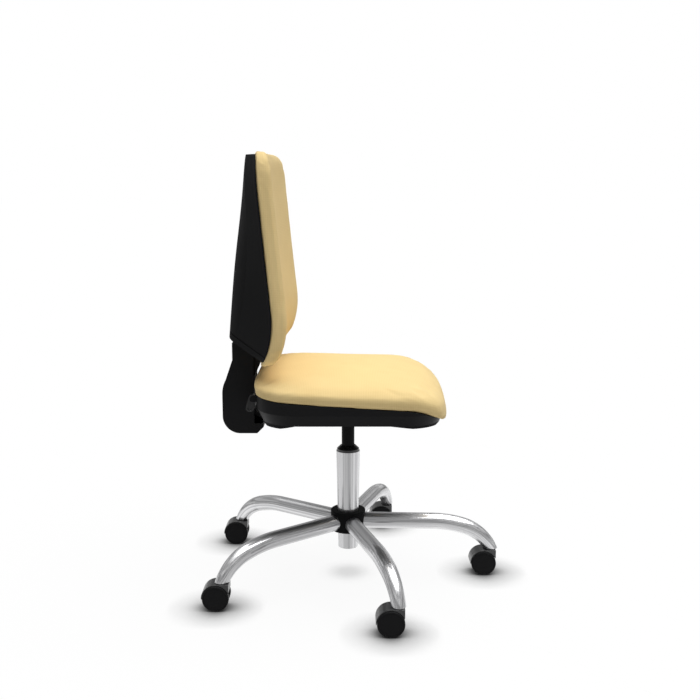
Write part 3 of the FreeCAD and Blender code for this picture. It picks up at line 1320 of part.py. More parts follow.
def back_shell():
    """Hollow moulded shell behind the pad, with a groove round its foot and an opening for the bar."""
    outer = shell_form(0)
    groove_top = SHELL_GROOVE_UP + SHELL_GROOVE_HEIGHT
    groove = above_shell_bottom(SHELL_GROOVE_UP).cut(above_shell_bottom(groove_top))
    outer = outer.cut(groove.cut(shell_form(SHELL_GROOVE_DEPTH)))
    shell = outer.common(above_shell_bottom(0)).common(behind_back(0))
    shell = shell.cut(shell_form(SHELL_WALL).common(above_shell_bottom(SHELL_WALL)))
    front = BAR_FRONT - FRONT_COVER_UPPER_WALL - SHELL_OPENING_MARGIN
    half = BOOT_HALF_WIDTH + SHELL_OPENING_MARGIN
    rear = NECK_REAR + SHELL_OPENING_BEHIND_NECK
    return shell.cut(block(-half, half, front, rear, BACK_BOTTOM, BOOT_SHOULDER + SHELL_OPENING_OVER_BOOT))


def back_screw_places():
    """Four screws through the carriage's flange, as (x, z)."""
    heights = (CARRIAGE_BOTTOM + BACK_SCREW_INSET, CARRIAGE_TOP - BACK_SCREW_INSET)
    return [(x, z) for x in (-BACK_SCREW_X, BACK_SCREW_X) for z in heights]


def screw_hole(x, z):
    """Level shank of a back screw, from inside the board to the rear of the flange."""
    bite = BACK_BOARD_THICKNESS - BACK_SCREW_TIP_COVER
    length = bite + CARRIAGE_FLANGE + BACK_SCREW_HEAD
    return Part.makeCylinder(BACK_SCREW_RADIUS, length, vec(x, back_depth(x, z) - bite, z), Y_AXIS)


def height_carriage():
    """Block on the back board that slides up the bar, with screw flanges at its sides."""
    rear = BAR_REAR + CARRIAGE_WALL
    behind = behind_back(0)
    half = CARRIAGE_HALF_WIDTH
    body = block(-half, half, 0, rear, CARRIAGE_BOTTOM, CARRIAGE_TOP).common(behind)
    flange_half = CARRIAGE_FLANGE_HALF_WIDTH
    flange = block(-flange_half, flange_half, 0, rear, CARRIAGE_BOTTOM, CARRIAGE_TOP)
    flange = flange.common(behind).cut(behind_back(CARRIAGE_FLANGE))
    body = body.fuse(flange)
    gap = CARRIAGE_CLEARANCE
    slot_half = BAR_HALF_WIDTH + gap
    slot = block(-slot_half, slot_half, BAR_FRONT - gap, BAR_REAR + gap, CARRIAGE_BOTTOM, CARRIAGE_TOP)
    body = body.cut(slot)
    window = half - CARRIAGE_WALL
    web = BAR_FRONT - CARRIAGE_WALL
    hollow = block(-window, window, 0, web, CARRIAGE_BOTTOM, CARRIAGE_TOP)
    body = body.cut(hollow.common(behind_back(CARRIAGE_FLANGE)))
    for x, z in back_screw_places():
        body = body.cut(screw_hole(x, z))
    return body.removeSplitter()


def back_screws():
    """Four pan-head screws from the carriage's flange into the back board."""
    screws = []
    for x, z in back_screw_places():
        seat = back_depth(x, z) + CARRIAGE_FLANGE + BACK_SCREW_STANDOFF
        head = Part.makeCylinder(BACK_SCREW_HEAD_RADIUS, BACK_SCREW_HEAD, vec(x, seat, z), Y_AXIS)
        screws.append(screw_hole(x, z).fuse(head).removeSplitter())
    return Part.makeCompound(screws)


def moved(shape, place):
    """Copy of a shape at another place."""
    copy = shape.copy()
    copy.translate(place)
    return copy


def build():
    """Every node's name and shape."""
    nodes = {"hub": hub(), "column_tube": column_tube(), "guide_bush": guide_bush()}
    nodes["thrust_bearing"] = thrust_bearing()
    arm = base_arm()
    socket = stem_socket()
    for k in range(CASTER_COUNT):
        nodes[f"base_arm_{k + 1}"] = turned(arm, k)
    nodes["stem_sockets"] = Part.makeCompound([turned(socket, k) for k in range(CASTER_COUNT)])
    caster = {
        "stem": caster_stem(),
        "hood": caster_hood(),
        "axle": caster_axle(),
        "wheel_left": caster_wheel(1),
        "wheel_right": caster_wheel(-1),
    }
    for k, place in enumerate(caster_places()):
        for name, shape in caster.items():
            nodes[f"caster_{k + 1}_{name}"] = moved(shape, place)
    for make in (
        gas_rod, rod_clip, gas_cylinder, valve_pin, taper_socket, mechanism_housing, pivot_pin, seat_bolts,
        tilt_springs, height_lever, lever_grip, lever_pins, seat_board, seat_cover, seat_cover_screws,
        seat_cushion, tilt_paddle,
    ):
        nodes[make.__name__] = make()
    for make in (
        back_bar, bar_cover_front, bar_cover_rear, back_board, back_pad, back_shell, height_carriage,
        back_screws,
    ):
        nodes[make.__name__] = moved(make(), vec(0, 0, PIVOT_Z))
    return nodes


os.makedirs("parts", exist_ok=True)
for node, shape in build().items():
    shape.exportStep(f"parts/{node}.step")
    print(f"{node}: {len(shape.Solids)} solids, {shape.Volume / 1000:.1f} cm3, valid {shape.isValid()}")
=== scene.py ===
"""Looks of an office task chair: padded seat and back, chromed base, black mouldings and a studio stage."""
import math

import bpy
import numpy as np
from bpy.props import FloatProperty, FloatVectorProperty, IntProperty, PointerProperty
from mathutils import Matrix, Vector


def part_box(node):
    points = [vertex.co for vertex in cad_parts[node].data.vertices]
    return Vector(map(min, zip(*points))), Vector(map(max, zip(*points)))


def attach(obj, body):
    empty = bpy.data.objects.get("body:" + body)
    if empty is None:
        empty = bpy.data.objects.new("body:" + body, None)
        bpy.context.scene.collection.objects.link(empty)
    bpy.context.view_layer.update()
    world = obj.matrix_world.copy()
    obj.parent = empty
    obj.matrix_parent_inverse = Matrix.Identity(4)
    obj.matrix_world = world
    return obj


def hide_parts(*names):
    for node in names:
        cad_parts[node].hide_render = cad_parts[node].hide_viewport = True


bl_info = {
    "name": "Office task chair",
    "version": (1, 0, 0),
    "blender": (4, 5, 0),
    "location": "View3D > Sidebar > Chair",
    "description": "Dresses an office task chair with upholstery, chrome, black mouldings and a studio stage",
    "category": "Object",
}

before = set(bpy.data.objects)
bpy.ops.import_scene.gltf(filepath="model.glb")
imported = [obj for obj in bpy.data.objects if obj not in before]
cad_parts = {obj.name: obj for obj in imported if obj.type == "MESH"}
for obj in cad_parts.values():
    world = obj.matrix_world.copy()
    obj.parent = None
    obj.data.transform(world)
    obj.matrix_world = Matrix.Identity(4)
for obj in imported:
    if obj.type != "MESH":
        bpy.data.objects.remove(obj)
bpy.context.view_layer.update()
MM = 0.001
CASTERS = [f"caster_{k}" for k in range(1, 6)]
BASE_ARMS = [f"base_arm_{k}" for k in range(1, 6)]

# Heights that the upholstery is set out from: the seat board's underside and the axis of the recline
BOARD_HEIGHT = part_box("seat_board")[0][2]
PIVOT_HEIGHT = sum(corner[2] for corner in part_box("pivot_pin")) / 2

# Line between seat cushion and under-cover in side view: points (y, z)
RIM_REAR = (194 * MM, BOARD_HEIGHT + 38.5 * MM)
RIM_DIP = (-115 * MM, BOARD_HEIGHT + 19.2 * MM)
RIM_FRONT = (-204 * MM, BOARD_HEIGHT - 23 * MM)

# Line between back pad and shell in side view: points (height over the recline axis, y)
BACK_TOP = (559.5 * MM, 172 * MM)
BACK_UPPER = (471.5 * MM, 171 * MM)
BACK_BEND = (248.5 * MM, 149.5 * MM)
BACK_FOOT = (133 * MM, 168.6 * MM)

# Seat cushion: its tuck is a share of its reach, and triples are for its sides, front and rear
SEAT_MIDDLE = -4.5 * MM
SEAT_PLAN_POWER = 5.0
SEAT_CROWN_POWERS = (2.5, 3.0, 3.6)
SEAT_WIDEST_MM = (15, 34, 18)
SEAT_TUCK = 0.04
SEAT_POINTS_AROUND = 220

# Back pad: the same, with triples for its sides, foot and top; its widest line is at a share of its thickness
PAD_BELOW_SOLID = 7.5 * MM
PAD_ABOVE_SOLID = 2 * MM
PAD_OUTLINE_POWER = 8.0
PAD_CROWN_POWERS = (6, 10, 6)
PAD_TUCK = 0.02
PAD_WIDEST = 0.4
PAD_HOLLOW = 10 * MM
PAD_POINTS_AROUND = 260

# Rings of points on a padded piece's flat side, round its edge and on its crown
FLAT_RINGS = 10
EDGE_RINGS = 8
CROWN_RINGS = 30

# Swelling: room that is left for it, the even mesh's faces, and the band along a pad's fixed side that stays
SEAT_SWELL_ROOM = 3 * MM
PAD_SWELL_ROOM = 2 * MM
EVEN_FACE = 5 * MM
HELD_BAND = 3 * MM

# Stage: floor's reach, lamp, and the camera where the photograph was taken from
FLOOR_REACH = 40.0
LAMP_STRENGTH = 3.2
LAMP_SPREAD = math.radians(70)
LAMP_LEAN = math.radians(9)
CAMERA_SENSOR = 36.0
CAMERA_LENS = 49.45
CAMERA_PLACE = (-2.058, -0.0043, 0.871)
CAMERA_TURN = (math.radians(90 - 9.97), 0, math.radians(-90))


def linear(hex_colour):
    """Linear RGB of an sRGB hex colour: ((c + 0.055) / 1.055) ** 2.4, or c / 12.92 in the darkest part."""
    channels = [int(hex_colour[k:k + 2], 16) / 255 for k in (0, 2, 4)]
    return [c / 12.92 if c <= 0.04045 else ((c + 0.055) / 1.055) ** 2.4 for c in channels]


class ChairSizes(bpy.types.PropertyGroup):
    """Sizes of the upholstery before it swells, and of its swelling and weave."""

    seat_crown: FloatProperty(
        name="Seat crown", description="Height of the seat cushion's top over the floor before it swells",
        default=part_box("seat_cushion")[1][2] - SEAT_SWELL_ROOM, unit="LENGTH")
    seat_half_width: FloatProperty(
        name="Seat half width", description="Half of the seat cushion's width before it swells",
        default=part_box("seat_cushion")[1][0] - SEAT_SWELL_ROOM, unit="LENGTH")
    seat_half_length: FloatProperty(
        name="Seat half length", description="Half of the seat cushion's length before it swells",
        default=202.5 * MM, unit="LENGTH")
    back_half_width: FloatProperty(
        name="Back half width", description="Half of the back pad's width before it swells",
        default=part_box("back_pad")[1][0] - PAD_SWELL_ROOM, unit="LENGTH")
    pad_thickness: FloatProperty(
        name="Back pad thickness", description="Thickness of the back pad before it swells",
        default=32.5 * MM, unit="LENGTH")
    pad_sag: FloatProperty(
        name="Back pad sag", description="How far the middle of the back pad lies behind its sides",
        default=16 * MM, unit="LENGTH")
    swell_limit: FloatProperty(
        name="Swell limit", description="Furthest that a point of the upholstery moves as it swells",
        default=3 * MM, unit="LENGTH")
    swell_frames: IntProperty(
        name="Swell frames", description="Frames that the upholstery is given to swell", default=20)
    thread_pitch: FloatProperty(
        name="Thread pitch", description="Spacing of the weave's threads as drawn",
        default=3.4 * MM, unit="LENGTH")


class ChairColours(bpy.types.PropertyGroup):
    """Colours of the finishes."""

    fabric_light: FloatVectorProperty(
        name="Fabric, light", description="Raised threads of the upholstery",
        subtype="COLOR", default=linear("F8DDA0"))
    fabric_dark: FloatVectorProperty(
        name="Fabric, dark", description="Hollows between the upholstery's threads",
        subtype="COLOR", default=linear("EBCD8E"))
    moulding_light: FloatVectorProperty(
        name="Moulding, light", description="Raised grain of the black mouldings",
        subtype="COLOR", default=linear("262627"))
    moulding_dark: FloatVectorProperty(
        name="Moulding, dark", description="Hollow grain of the black mouldings",
        subtype="COLOR", default=linear("1C1C1D"))
    # Chrome colours: painted reflection streaks, bright and dull, that follow the way the tube's surface
    # faces
    chrome_painted_bright_reflection: FloatVectorProperty(
        name="Chrome, light", description="Bright lines of the tubes' chrome",
        subtype="COLOR", default=linear("F2F2F3"))
    chrome_painted_dull_reflection: FloatVectorProperty(
        name="Chrome, dark", description="Dull lines of the tubes' chrome",
        subtype="COLOR", default=linear("C8C8CA"))


def add_node(tree, kind, attributes=None, inputs=None):
    """One shader node: attributes are set by name; an input takes a value or another node's output."""
    node = tree.nodes.new(kind)
    for name, value in (attributes or {}).items():
        setattr(node, name, value)
    for key, value in (inputs or {}).items():
        if isinstance(value, bpy.types.NodeSocket):
            tree.links.new(value, node.inputs[key])
        else:
            node.inputs[key].default_value = value
    return node


def new_tree(name):
    """A material with an empty node tree, and that tree."""
    material = bpy.data.materials.new(name)
    material.use_nodes = True
    material.node_tree.nodes.clear()
    return material, material.node_tree


def rgba(colour):
    """A colour with full opacity."""
    return (*colour, 1.0)


def wave_scale(pitch):
    """Scale at which a band texture repeats every pitch metres: a band's phase is 20 * scale * length."""
    return 2 * math.pi / (20 * pitch)


def woven_fabric(colours, sizes):
    """Plain-woven polyester over foam: matt, with threads that catch the light and a soft sheen at the edges.
    The real threads are about 0.5 mm apart, too fine to show, so they are drawn at the stated pitch. The
    threads across an axis fade by 1 - 2 n^2, down to none, as the surface turns to face along that axis, n
    being the normal's share of it."""
    material, tree = new_tree("plain_weave_upholstery")
    coordinates = add_node(tree, "ShaderNodeTexCoord")
    place = coordinates.outputs["Object"]
    facing = add_node(tree, "ShaderNodeSeparateXYZ", {}, {0: coordinates.outputs["Normal"]})
    weave = 0.0
    weave_share = 0.4
    for axis in "XYZ":
        thread = add_node(tree, "ShaderNodeTexWave", {"bands_direction": axis}, {
            "Vector": place, "Scale": wave_scale(sizes.thread_pitch), "Distortion": 0.8, "Detail": 1.0,
            "Detail Scale": 2.0})
        square = add_node(tree, "ShaderNodeMath", {"operation": "MULTIPLY"}, {
            0: facing.outputs[axis], 1: facing.outputs[axis]})
        across = add_node(tree, "ShaderNodeMath", {"operation": "SUBTRACT"}, {
            0: 0.5, 1: square.outputs["Value"]})
        shown = add_node(tree, "ShaderNodeMath", {"operation": "MULTIPLY_ADD", "use_clamp": True}, {
            0: across.outputs["Value"], 1: 2.0, 2: 0.0})
        weave = add_node(tree, "ShaderNodeMath", {"operation": "MULTIPLY_ADD"}, {
            0: thread.outputs["Fac"], 1: shown.outputs["Value"], 2: weave}).outputs["Value"]
    cloud = add_node(tree, "ShaderNodeTexNoise", {}, {"Vector": place, "Scale": 1 / (60 * MM), "Detail": 3.0})
    shade = add_node(tree, "ShaderNodeMath", {"operation": "MULTIPLY_ADD", "use_clamp": True}, {
        0: weave, 1: weave_share, 2: cloud.outputs["Fac"]})
    colour = add_node(tree, "ShaderNodeMix", {"data_type": "RGBA"}, {
        "Factor": shade.outputs["Value"], 6: rgba(colours.fabric_dark), 7: rgba(colours.fabric_light)})
    bump = add_node(tree, "ShaderNodeBump", {}, {"Height": weave, "Strength": 0.2, "Distance": 0.3 * MM})
    surface = add_node(tree, "ShaderNodeBsdfPrincipled", {}, {
        "Base Color": colour.outputs[2], "Roughness": 0.9, "Specular IOR Level": 0.2, "Sheen Weight": 0.08,
        "Sheen Roughness": 0.5, "Normal": bump.outputs["Normal"]})
    add_node(tree, "ShaderNodeOutputMaterial", {}, {"Surface": surface.outputs["BSDF"]})
    return material


def grained_plastic(name, colours, roughness, shine, grain):
    """Injection-moulded black polypropylene or nylon: a fine spark-eroded grain that spreads and dulls the
    highlights, and edges rounded by about a millimetre that catch the light. The real grain is about 0.2 mm,
    too fine to show, so it is drawn at the stated size in metres."""
    material, tree = new_tree(name)
    place = add_node(tree, "ShaderNodeTexCoord").outputs["Object"]
    fine = add_node(tree, "ShaderNodeTexNoise", {}, {"Vector": place, "Scale": 1 / grain, "Detail": 2.0})
    broad = add_node(tree, "ShaderNodeTexNoise", {}, {"Vector": place, "Scale": 1 / (45 * MM), "Detail": 3.0})
    colour = add_node(tree, "ShaderNodeMix", {"data_type": "RGBA"}, {
        "Factor": fine.outputs["Fac"], 6: rgba(colours.moulding_dark), 7: rgba(colours.moulding_light)})
    unevenness = 0.06
    gloss = add_node(tree, "ShaderNodeMapRange", {}, {
        "Value": broad.outputs["Fac"], "To Min": roughness - unevenness, "To Max": roughness + unevenness})
    edge = add_node(tree, "ShaderNodeBevel", {"samples": 4}, {"Radius": 1.0 * MM})
    bump = add_node(tree, "ShaderNodeBump", {}, {
        "Height": fine.outputs["Fac"], "Strength": 0.12, "Distance": 0.2 * MM,
        "Normal": edge.outputs["Normal"]})
    surface = add_node(tree, "ShaderNodeBsdfPrincipled", {}, {
        "Base Color": colour.outputs[2], "Roughness": gloss.outputs["Result"], "IOR": 1.49,
        "Specular IOR Level": shine, "Normal": bump.outputs["Normal"]})
    add_node(tree, "ShaderNodeOutputMaterial", {}, {"Surface": surface.outputs["BSDF"]})
    return material


def zinc_plated_steel():
    """Bright zinc plate on steel: mirror-like, with faint handling marks, about 12 mm across, that dull the
    reflections by up to the stated share."""
    material, tree = new_tree("zinc_plated_steel")
    roughness = 0.28
    dulled = 1.8
    place = add_node(tree, "ShaderNodeTexCoord").outputs["Object"]
    marks = add_node(tree, "ShaderNodeTexNoise", {}, {"Vector": place, "Scale": 1 / (12 * MM), "Detail": 4.0})
    colour = add_node(tree, "ShaderNodeMix", {"data_type": "RGBA"}, {
        "Factor": marks.outputs["Fac"], 6: rgba(linear("AEAEB2")), 7: rgba(linear("C4C4C6"))})
    gloss = add_node(tree, "ShaderNodeMapRange", {}, {
        "Value": marks.outputs["Fac"], "From Min": 0.35, "From Max": 0.7,
        "To Min": roughness, "To Max": roughness * dulled})
    surface = add_node(tree, "ShaderNodeBsdfPrincipled", {}, {
        "Base Color": colour.outputs[2], "Metallic": 1.0, "Roughness": gloss.outputs["Result"]})
    add_node(tree, "ShaderNodeOutputMaterial", {}, {"Surface": surface.outputs["BSDF"]})
    return material


def polished_chrome(colours):
    """Chrome on polished tube: a sharp mirror under a slight haze, with painted reflection streaks in its
    colour.
    The streaks run along the tube because they are noise over the surface's normal, which stays the same
    along a straight tube."""
    material, tree = new_tree("chromed_steel")
    normal = add_node(tree, "ShaderNodeTexCoord").outputs["Normal"]
    # Painted reflection streaks: noise over the normal, so the colour changes with the way the surface faces
    lines = add_node(tree, "ShaderNodeTexNoise", {}, {"Vector": normal, "Scale": 5.0, "Detail": 3.0})
    share = add_node(tree, "ShaderNodeMapRange", {}, {
        "Value": lines.outputs["Fac"], "From Min": 0.35, "From Max": 0.65})
    colour = add_node(tree, "ShaderNodeMix", {"data_type": "RGBA"}, {
        "Factor": share.outputs["Result"], 6: rgba(colours.chrome_painted_dull_reflection), 7: rgba(colours.chrome_painted_bright_reflection)})
    mirror, haze = (
        add_node(tree, "ShaderNodeBsdfPrincipled", {}, {
            "Base Color": colour.outputs[2], "Metallic": 1.0, "Roughness": roughness})
        for roughness in (0.1, 0.42))
    haze_share = 0.5
    surface = add_node(tree, "ShaderNodeMixShader", {}, {
        0: haze_share, 1: mirror.outputs["BSDF"], 2: haze.outputs["BSDF"]})
    add_node(tree, "ShaderNodeOutputMaterial", {}, {"Surface": surface.outputs["Shader"]})
    return material


def painted_steel(colours):
    """Black powder coat on steel: slightly orange-peeled, with a broad dull highlight."""
    material, tree = new_tree("powder_coated_steel")
    place = add_node(tree, "ShaderNodeTexCoord").outputs["Object"]
    peel = add_node(tree, "ShaderNodeTexNoise", {}, {"Vector": place, "Scale": 1 / (3 * MM), "Detail": 1.0})
    colour = add_node(tree, "ShaderNodeMix", {"data_type": "RGBA"}, {
        "Factor": peel.outputs["Fac"], 6: rgba(colours.moulding_dark), 7: rgba(colours.moulding_light)})
    bump = add_node(tree, "ShaderNodeBump", {}, {
        "Height": peel.outputs["Fac"], "Strength": 0.2, "Distance": 0.15 * MM})
    surface = add_node(tree, "ShaderNodeBsdfPrincipled", {}, {
        "Base Color": colour.outputs[2], "Roughness": 0.45, "IOR": 1.5, "Specular IOR Level": 0.06,
        "Normal": bump.outputs["Normal"]})
    add_node(tree, "ShaderNodeOutputMaterial", {}, {"Surface": surface.outputs["BSDF"]})
    return material


def raw_plywood():
    """Unfinished birch plywood: pale, with grain lines about 4 mm apart."""
    material, tree = new_tree("raw_birch_plywood")
    place = add_node(tree, "ShaderNodeTexCoord").outputs["Object"]
    grain = add_node(tree, "ShaderNodeTexWave", {"bands_direction": "Y"}, {
        "Vector": place, "Scale": wave_scale(4 * MM), "Distortion": 6.0, "Detail": 2.0})
    colour = add_node(tree, "ShaderNodeMix", {"data_type": "RGBA"}, {
        "Factor": grain.outputs["Fac"], 6: rgba(linear("B08A58")), 7: rgba(linear("CFAE7C"))})
    surface = add_node(tree, "ShaderNodeBsdfPrincipled", {}, {
        "Base Color": colour.outputs[2], "Roughness": 0.7})
    add_node(tree, "ShaderNodeOutputMaterial", {}, {"Surface": surface.outputs["BSDF"]})
    return material


def finish_nodes(material, names):
    """Gives CAD nodes a finish."""
    for name in names:
        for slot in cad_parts[name].material_slots:
            slot.material = material


def ring_mesh(name, rings):
    """Piece with a closed mesh from an array of rings (ring, point, xyz): quads between rings, and a fan
    round the mean of each end ring."""
    count, around = rings.shape[:2]
    index = np.arange(count * around).reshape(count, around)
    low = index[:-1]
    high = index[1:]
    quads = np.stack([low, np.roll(low, -1, 1), np.roll(high, -1, 1), high], -1).reshape(-1, 4)
    ends = np.stack([rings[0].mean(0), rings[-1].mean(0)])
    first = np.stack([np.full(around, count * around), np.roll(index[0], -1), index[0]], -1)
    last = np.stack([np.full(around, count * around + 1), index[-1], np.roll(index[-1], -1)], -1)
    points = np.concatenate([rings.reshape(-1, 3), ends])
    mesh = bpy.data.meshes.new(name)
    mesh.from_pydata(points.tolist(), [], quads.tolist() + first.tolist() + last.tolist())
    piece = bpy.data.objects.new(name, mesh)
    bpy.context.scene.collection.objects.link(piece)
    return piece


def squircle(around, power):
    """Unit superellipse |u|^p + |v|^p = 1 as two arrays, evenly spaced in angle."""
    angle = np.linspace(0, 2 * np.pi, around, endpoint=False)
    u = np.cos(angle)
    v = np.sin(angle)
    size = (np.abs(u) ** power + np.abs(v) ** power) ** (-1 / power)
    return u * size, v * size


def dome(share, power):
    """Superellipse height (1 - share^p)^(1/p), 1 in the middle and 0 at the edge."""
    return np.clip(1 - np.abs(share) ** power, 0, 1) ** (1 / power)


def side_to_end(v, endways, values):
    """Value round an outline: the first of three at its sides, going over with endways from 0 to 1 into the
    second at the end where v is negative, and into the third at the other end."""
    side, low_end, high_end = values
    return side + (np.where(v < 0, low_end, high_end) - side) * endways


def line_then_arc(position, start, bend, end):
    """Curve through points (position, value): straight from start to bend, then the circle that leaves bend
    along that line and reaches end. Returns the value at each position."""
    start, bend, end = (np.array(point) for point in (start, bend, end))
    along = (bend - start) / np.linalg.norm(bend - start)
    chord = end - bend
    across = chord - along * chord.dot(along)
    radius = chord.dot(chord) / (2 * np.linalg.norm(across))
    centre = bend + across / np.linalg.norm(across) * radius
    side = np.sign(bend[1] - centre[1])
    straight = bend[1] + (position - bend[0]) * (start[1] - bend[1]) / (start[0] - bend[0])
    round_part = centre[1] + side * np.sqrt(np.clip(radius ** 2 - (position - centre[0]) ** 2, 0, None))
    beyond = (position - bend[0]) * np.sign(end[0] - bend[0]) > 0
    return np.where(beyond, round_part, straight)


def rim_height(y):
    """Height of the line between cushion and under-cover: straight, then dipping in an arc to the front."""
    return line_then_arc(y, RIM_REAR, RIM_DIP, RIM_FRONT)


def pad_plane(x, z, sizes):
    """Depth of the face between back pad and shell: in side view straight with an arc at each end; in plan an
    arc that lies the sag further back in the middle than at the sides."""
    height = z - PIVOT_HEIGHT
    lower_part = line_then_arc(height, BACK_UPPER, BACK_BEND, BACK_FOOT)
    upper_part = line_then_arc(height, BACK_BEND, BACK_UPPER, BACK_TOP)
    line = np.where(height > BACK_UPPER[0], upper_part, lower_part)
    radius = (sizes.back_half_width ** 2 + sizes.pad_sag ** 2) / (2 * sizes.pad_sag)
    return line + sizes.pad_sag - radius + np.sqrt(radius ** 2 - np.minimum(x ** 2, radius ** 2))


def edge_stations():
    """Stations over a padded edge, from the middle of its flat side to the middle of its crowned side, as
    three columns: shares of the outline's reach on the flat side, angles of the quarter ellipse up to the
    widest line, and shares of the reach on the crown inside that line."""
    flat = np.linspace(0.05, 0.95, FLAT_RINGS)
    turn = np.linspace(0, np.pi / 2, EDGE_RINGS)
    crown = np.sin(np.linspace(np.pi / 2, 0.04, CROWN_RINGS))[1:]
    return flat[:, None], turn[:, None], crown[:, None]


def seat_cushion_rings(sizes):
    """Seat cushion with a superellipse plan. The underside lies on the rim line. The side draws in by a
    quarter ellipse below its widest line, which is low at the sides and higher at front and rear. Above it
    the crown is a dome, squarer at front and rear than at the sides."""
    u, v = squircle(SEAT_POINTS_AROUND, SEAT_PLAN_POWER)
    flat, turn, crown = edge_stations()
    endways = v ** 2 / (u ** 2 + v ** 2)
    power = side_to_end(v, endways, SEAT_CROWN_POWERS)
    widest = side_to_end(v, endways ** 3, SEAT_WIDEST_MM) * MM

    def plan(reach):
        return sizes.seat_half_width * reach * u, SEAT_MIDDLE + sizes.seat_half_length * reach * v

    x, y = plan(flat * (1 - SEAT_TUCK))
    underside = np.stack([x, y, rim_height(y)], -1)
    x, y = plan(1 - SEAT_TUCK + SEAT_TUCK * np.sin(turn))
    side = np.stack([x, y, rim_height(y) + widest * (1 - np.cos(turn))], -1)
    edge = rim_height(plan(1.0)[1]) + widest
    x, y = plan(crown)
    top = np.stack([x, y, edge + (sizes.seat_crown - edge) * dome(crown, power)], -1)
    return np.concatenate([underside, side, top])


def back_pad_rings(sizes):
    """Back pad with a superellipse outline, lying on the shell's bent face. The side draws in by a quarter
    ellipse behind its widest line. The front follows the same bent face at the pad's thickness, falls away at
    the edges as a dome, squarer at the foot, and is hollowed across its width by hollow (1 - (x / half
    width)^2)."""
    u, v = squircle(PAD_POINTS_AROUND, PAD_OUTLINE_POWER)
    flat, turn, crown = edge_stations()
    power = side_to_end(v, v ** 2 / (u ** 2 + v ** 2), PAD_CROWN_POWERS)
    low, high = (corner[2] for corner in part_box("back_pad"))
    low -= PAD_BELOW_SOLID
    high += PAD_ABOVE_SOLID
    middle = (low + high) / 2
    half_height = (high - low) / 2
    widest = sizes.pad_thickness * PAD_WIDEST

    def outline(reach):
        return sizes.back_half_width * reach * u, middle + half_height * reach * v

    x, z = outline(flat * (1 - PAD_TUCK))
    rear = np.stack([x, pad_plane(x, z, sizes), z], -1)
    x, z = outline(1 - PAD_TUCK + PAD_TUCK * np.sin(turn))
    side = np.stack([x, pad_plane(x, z, sizes) - widest * (1 - np.cos(turn)), z], -1)
    x, z = outline(crown)
    full = sizes.pad_thickness * (1 - PAD_WIDEST) - PAD_HOLLOW * (1 - (x / sizes.back_half_width) ** 2)
    depth = widest + full * dome(crown, power)
    front = np.stack([x, pad_plane(x, z, sizes) - depth, z], -1)
    return np.concatenate([rear, side, front])


def points_of(mesh):
    """Vertex positions as an array."""
    flat = np.empty(3 * len(mesh.vertices))
    mesh.vertices.foreach_get("co", flat)
    return flat.reshape(-1, 3)


def made_mesh(piece):
    """Replaces a piece's mesh by what its modifiers give, and removes them."""
    graph = bpy.context.evaluated_depsgraph_get()
    mesh = bpy.data.meshes.new_from_object(piece.evaluated_get(graph))
    piece.modifiers.clear()
    piece.data = mesh
    return mesh


def blow_up(piece, start, held, sizes):
    """Cloth simulation of a pad under a little pressure and without weight, while the held points stay. Each
    point then moves from its start along the way it took, by no more than the swell limit."""
    pins = piece.vertex_groups.new(name="held")
    pins.add(np.flatnonzero(held).tolist(), 1.0, "REPLACE")
    cloth = piece.modifiers.new("swell", "CLOTH")
    cloth.settings.quality = 5
    cloth.settings.mass = 0.4
    cloth.settings.use_pressure = True
    cloth.settings.uniform_pressure_force = 4.0
    cloth.settings.vertex_group_mass = "held"
    cloth.settings.effector_weights.gravity = 0.0
    cloth.point_cache.frame_start = 1
    cloth.point_cache.frame_end = sizes.swell_frames
    for step in range(1, sizes.swell_frames + 1):
        bpy.context.scene.frame_set(step)
    mesh = made_mesh(piece)
    bpy.context.scene.frame_set(1)
    move = points_of(mesh) - start
    shortest = 1e-9
    length = np.linalg.norm(move, axis=1, keepdims=True)
    move *= np.minimum(1, sizes.swell_limit / np.maximum(length, shortest))
    mesh.vertices.foreach_set("co", (start + move).ravel())
    piece.vertex_groups.clear()


def swell(piece, held, sizes):
    remesh = piece.modifiers.new("even", "REMESH")
    remesh.mode = "VOXEL"
    remesh.voxel_size = EVEN_FACE
    start = points_of(made_mesh(piece))
    blow_up(piece, start, held(start), sizes)
    subdivision = piece.modifiers.new("smooth", "SUBSURF")
    subdivision.levels = 1
    subdivision.render_levels = 1
    mesh = made_mesh(piece)
    mesh.polygons.foreach_set("use_smooth", np.ones(len(mesh.polygons), bool))
    mesh.update()


class CHAIR_OT_seat_cushion(bpy.types.Operator):
    """Upholstered seat cushion on the under-cover's rim"""

    bl_idname = "chair.seat_cushion"
    bl_label = "Seat cushion"

    def execute(self, context):
        sizes = context.scene.chair_sizes
        piece = ring_mesh("seat_cushion_upholstery", seat_cushion_rings(sizes))
        swell(piece, lambda p: p[:, 2] < rim_height(p[:, 1]) + HELD_BAND, sizes)
        piece.data.materials.append(bpy.data.materials["plain_weave_upholstery"])
        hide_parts("seat_cushion")
        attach(piece, "seat")
        return {"FINISHED"}


class CHAIR_OT_back_pad(bpy.types.Operator):
    """Upholstered back pad on the back shell"""

    bl_idname = "chair.back_pad"
    bl_label = "Back pad"

    def execute(self, context):
        sizes = context.scene.chair_sizes
        piece = ring_mesh("back_pad_upholstery", back_pad_rings(sizes))
        swell(piece, lambda p: p[:, 1] > pad_plane(p[:, 0], p[:, 2], sizes) - HELD_BAND, sizes)
        piece.data.materials.append(bpy.data.materials["plain_weave_upholstery"])
        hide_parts("back_pad")
        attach(piece, "backrest")
        return {"FINISHED"}


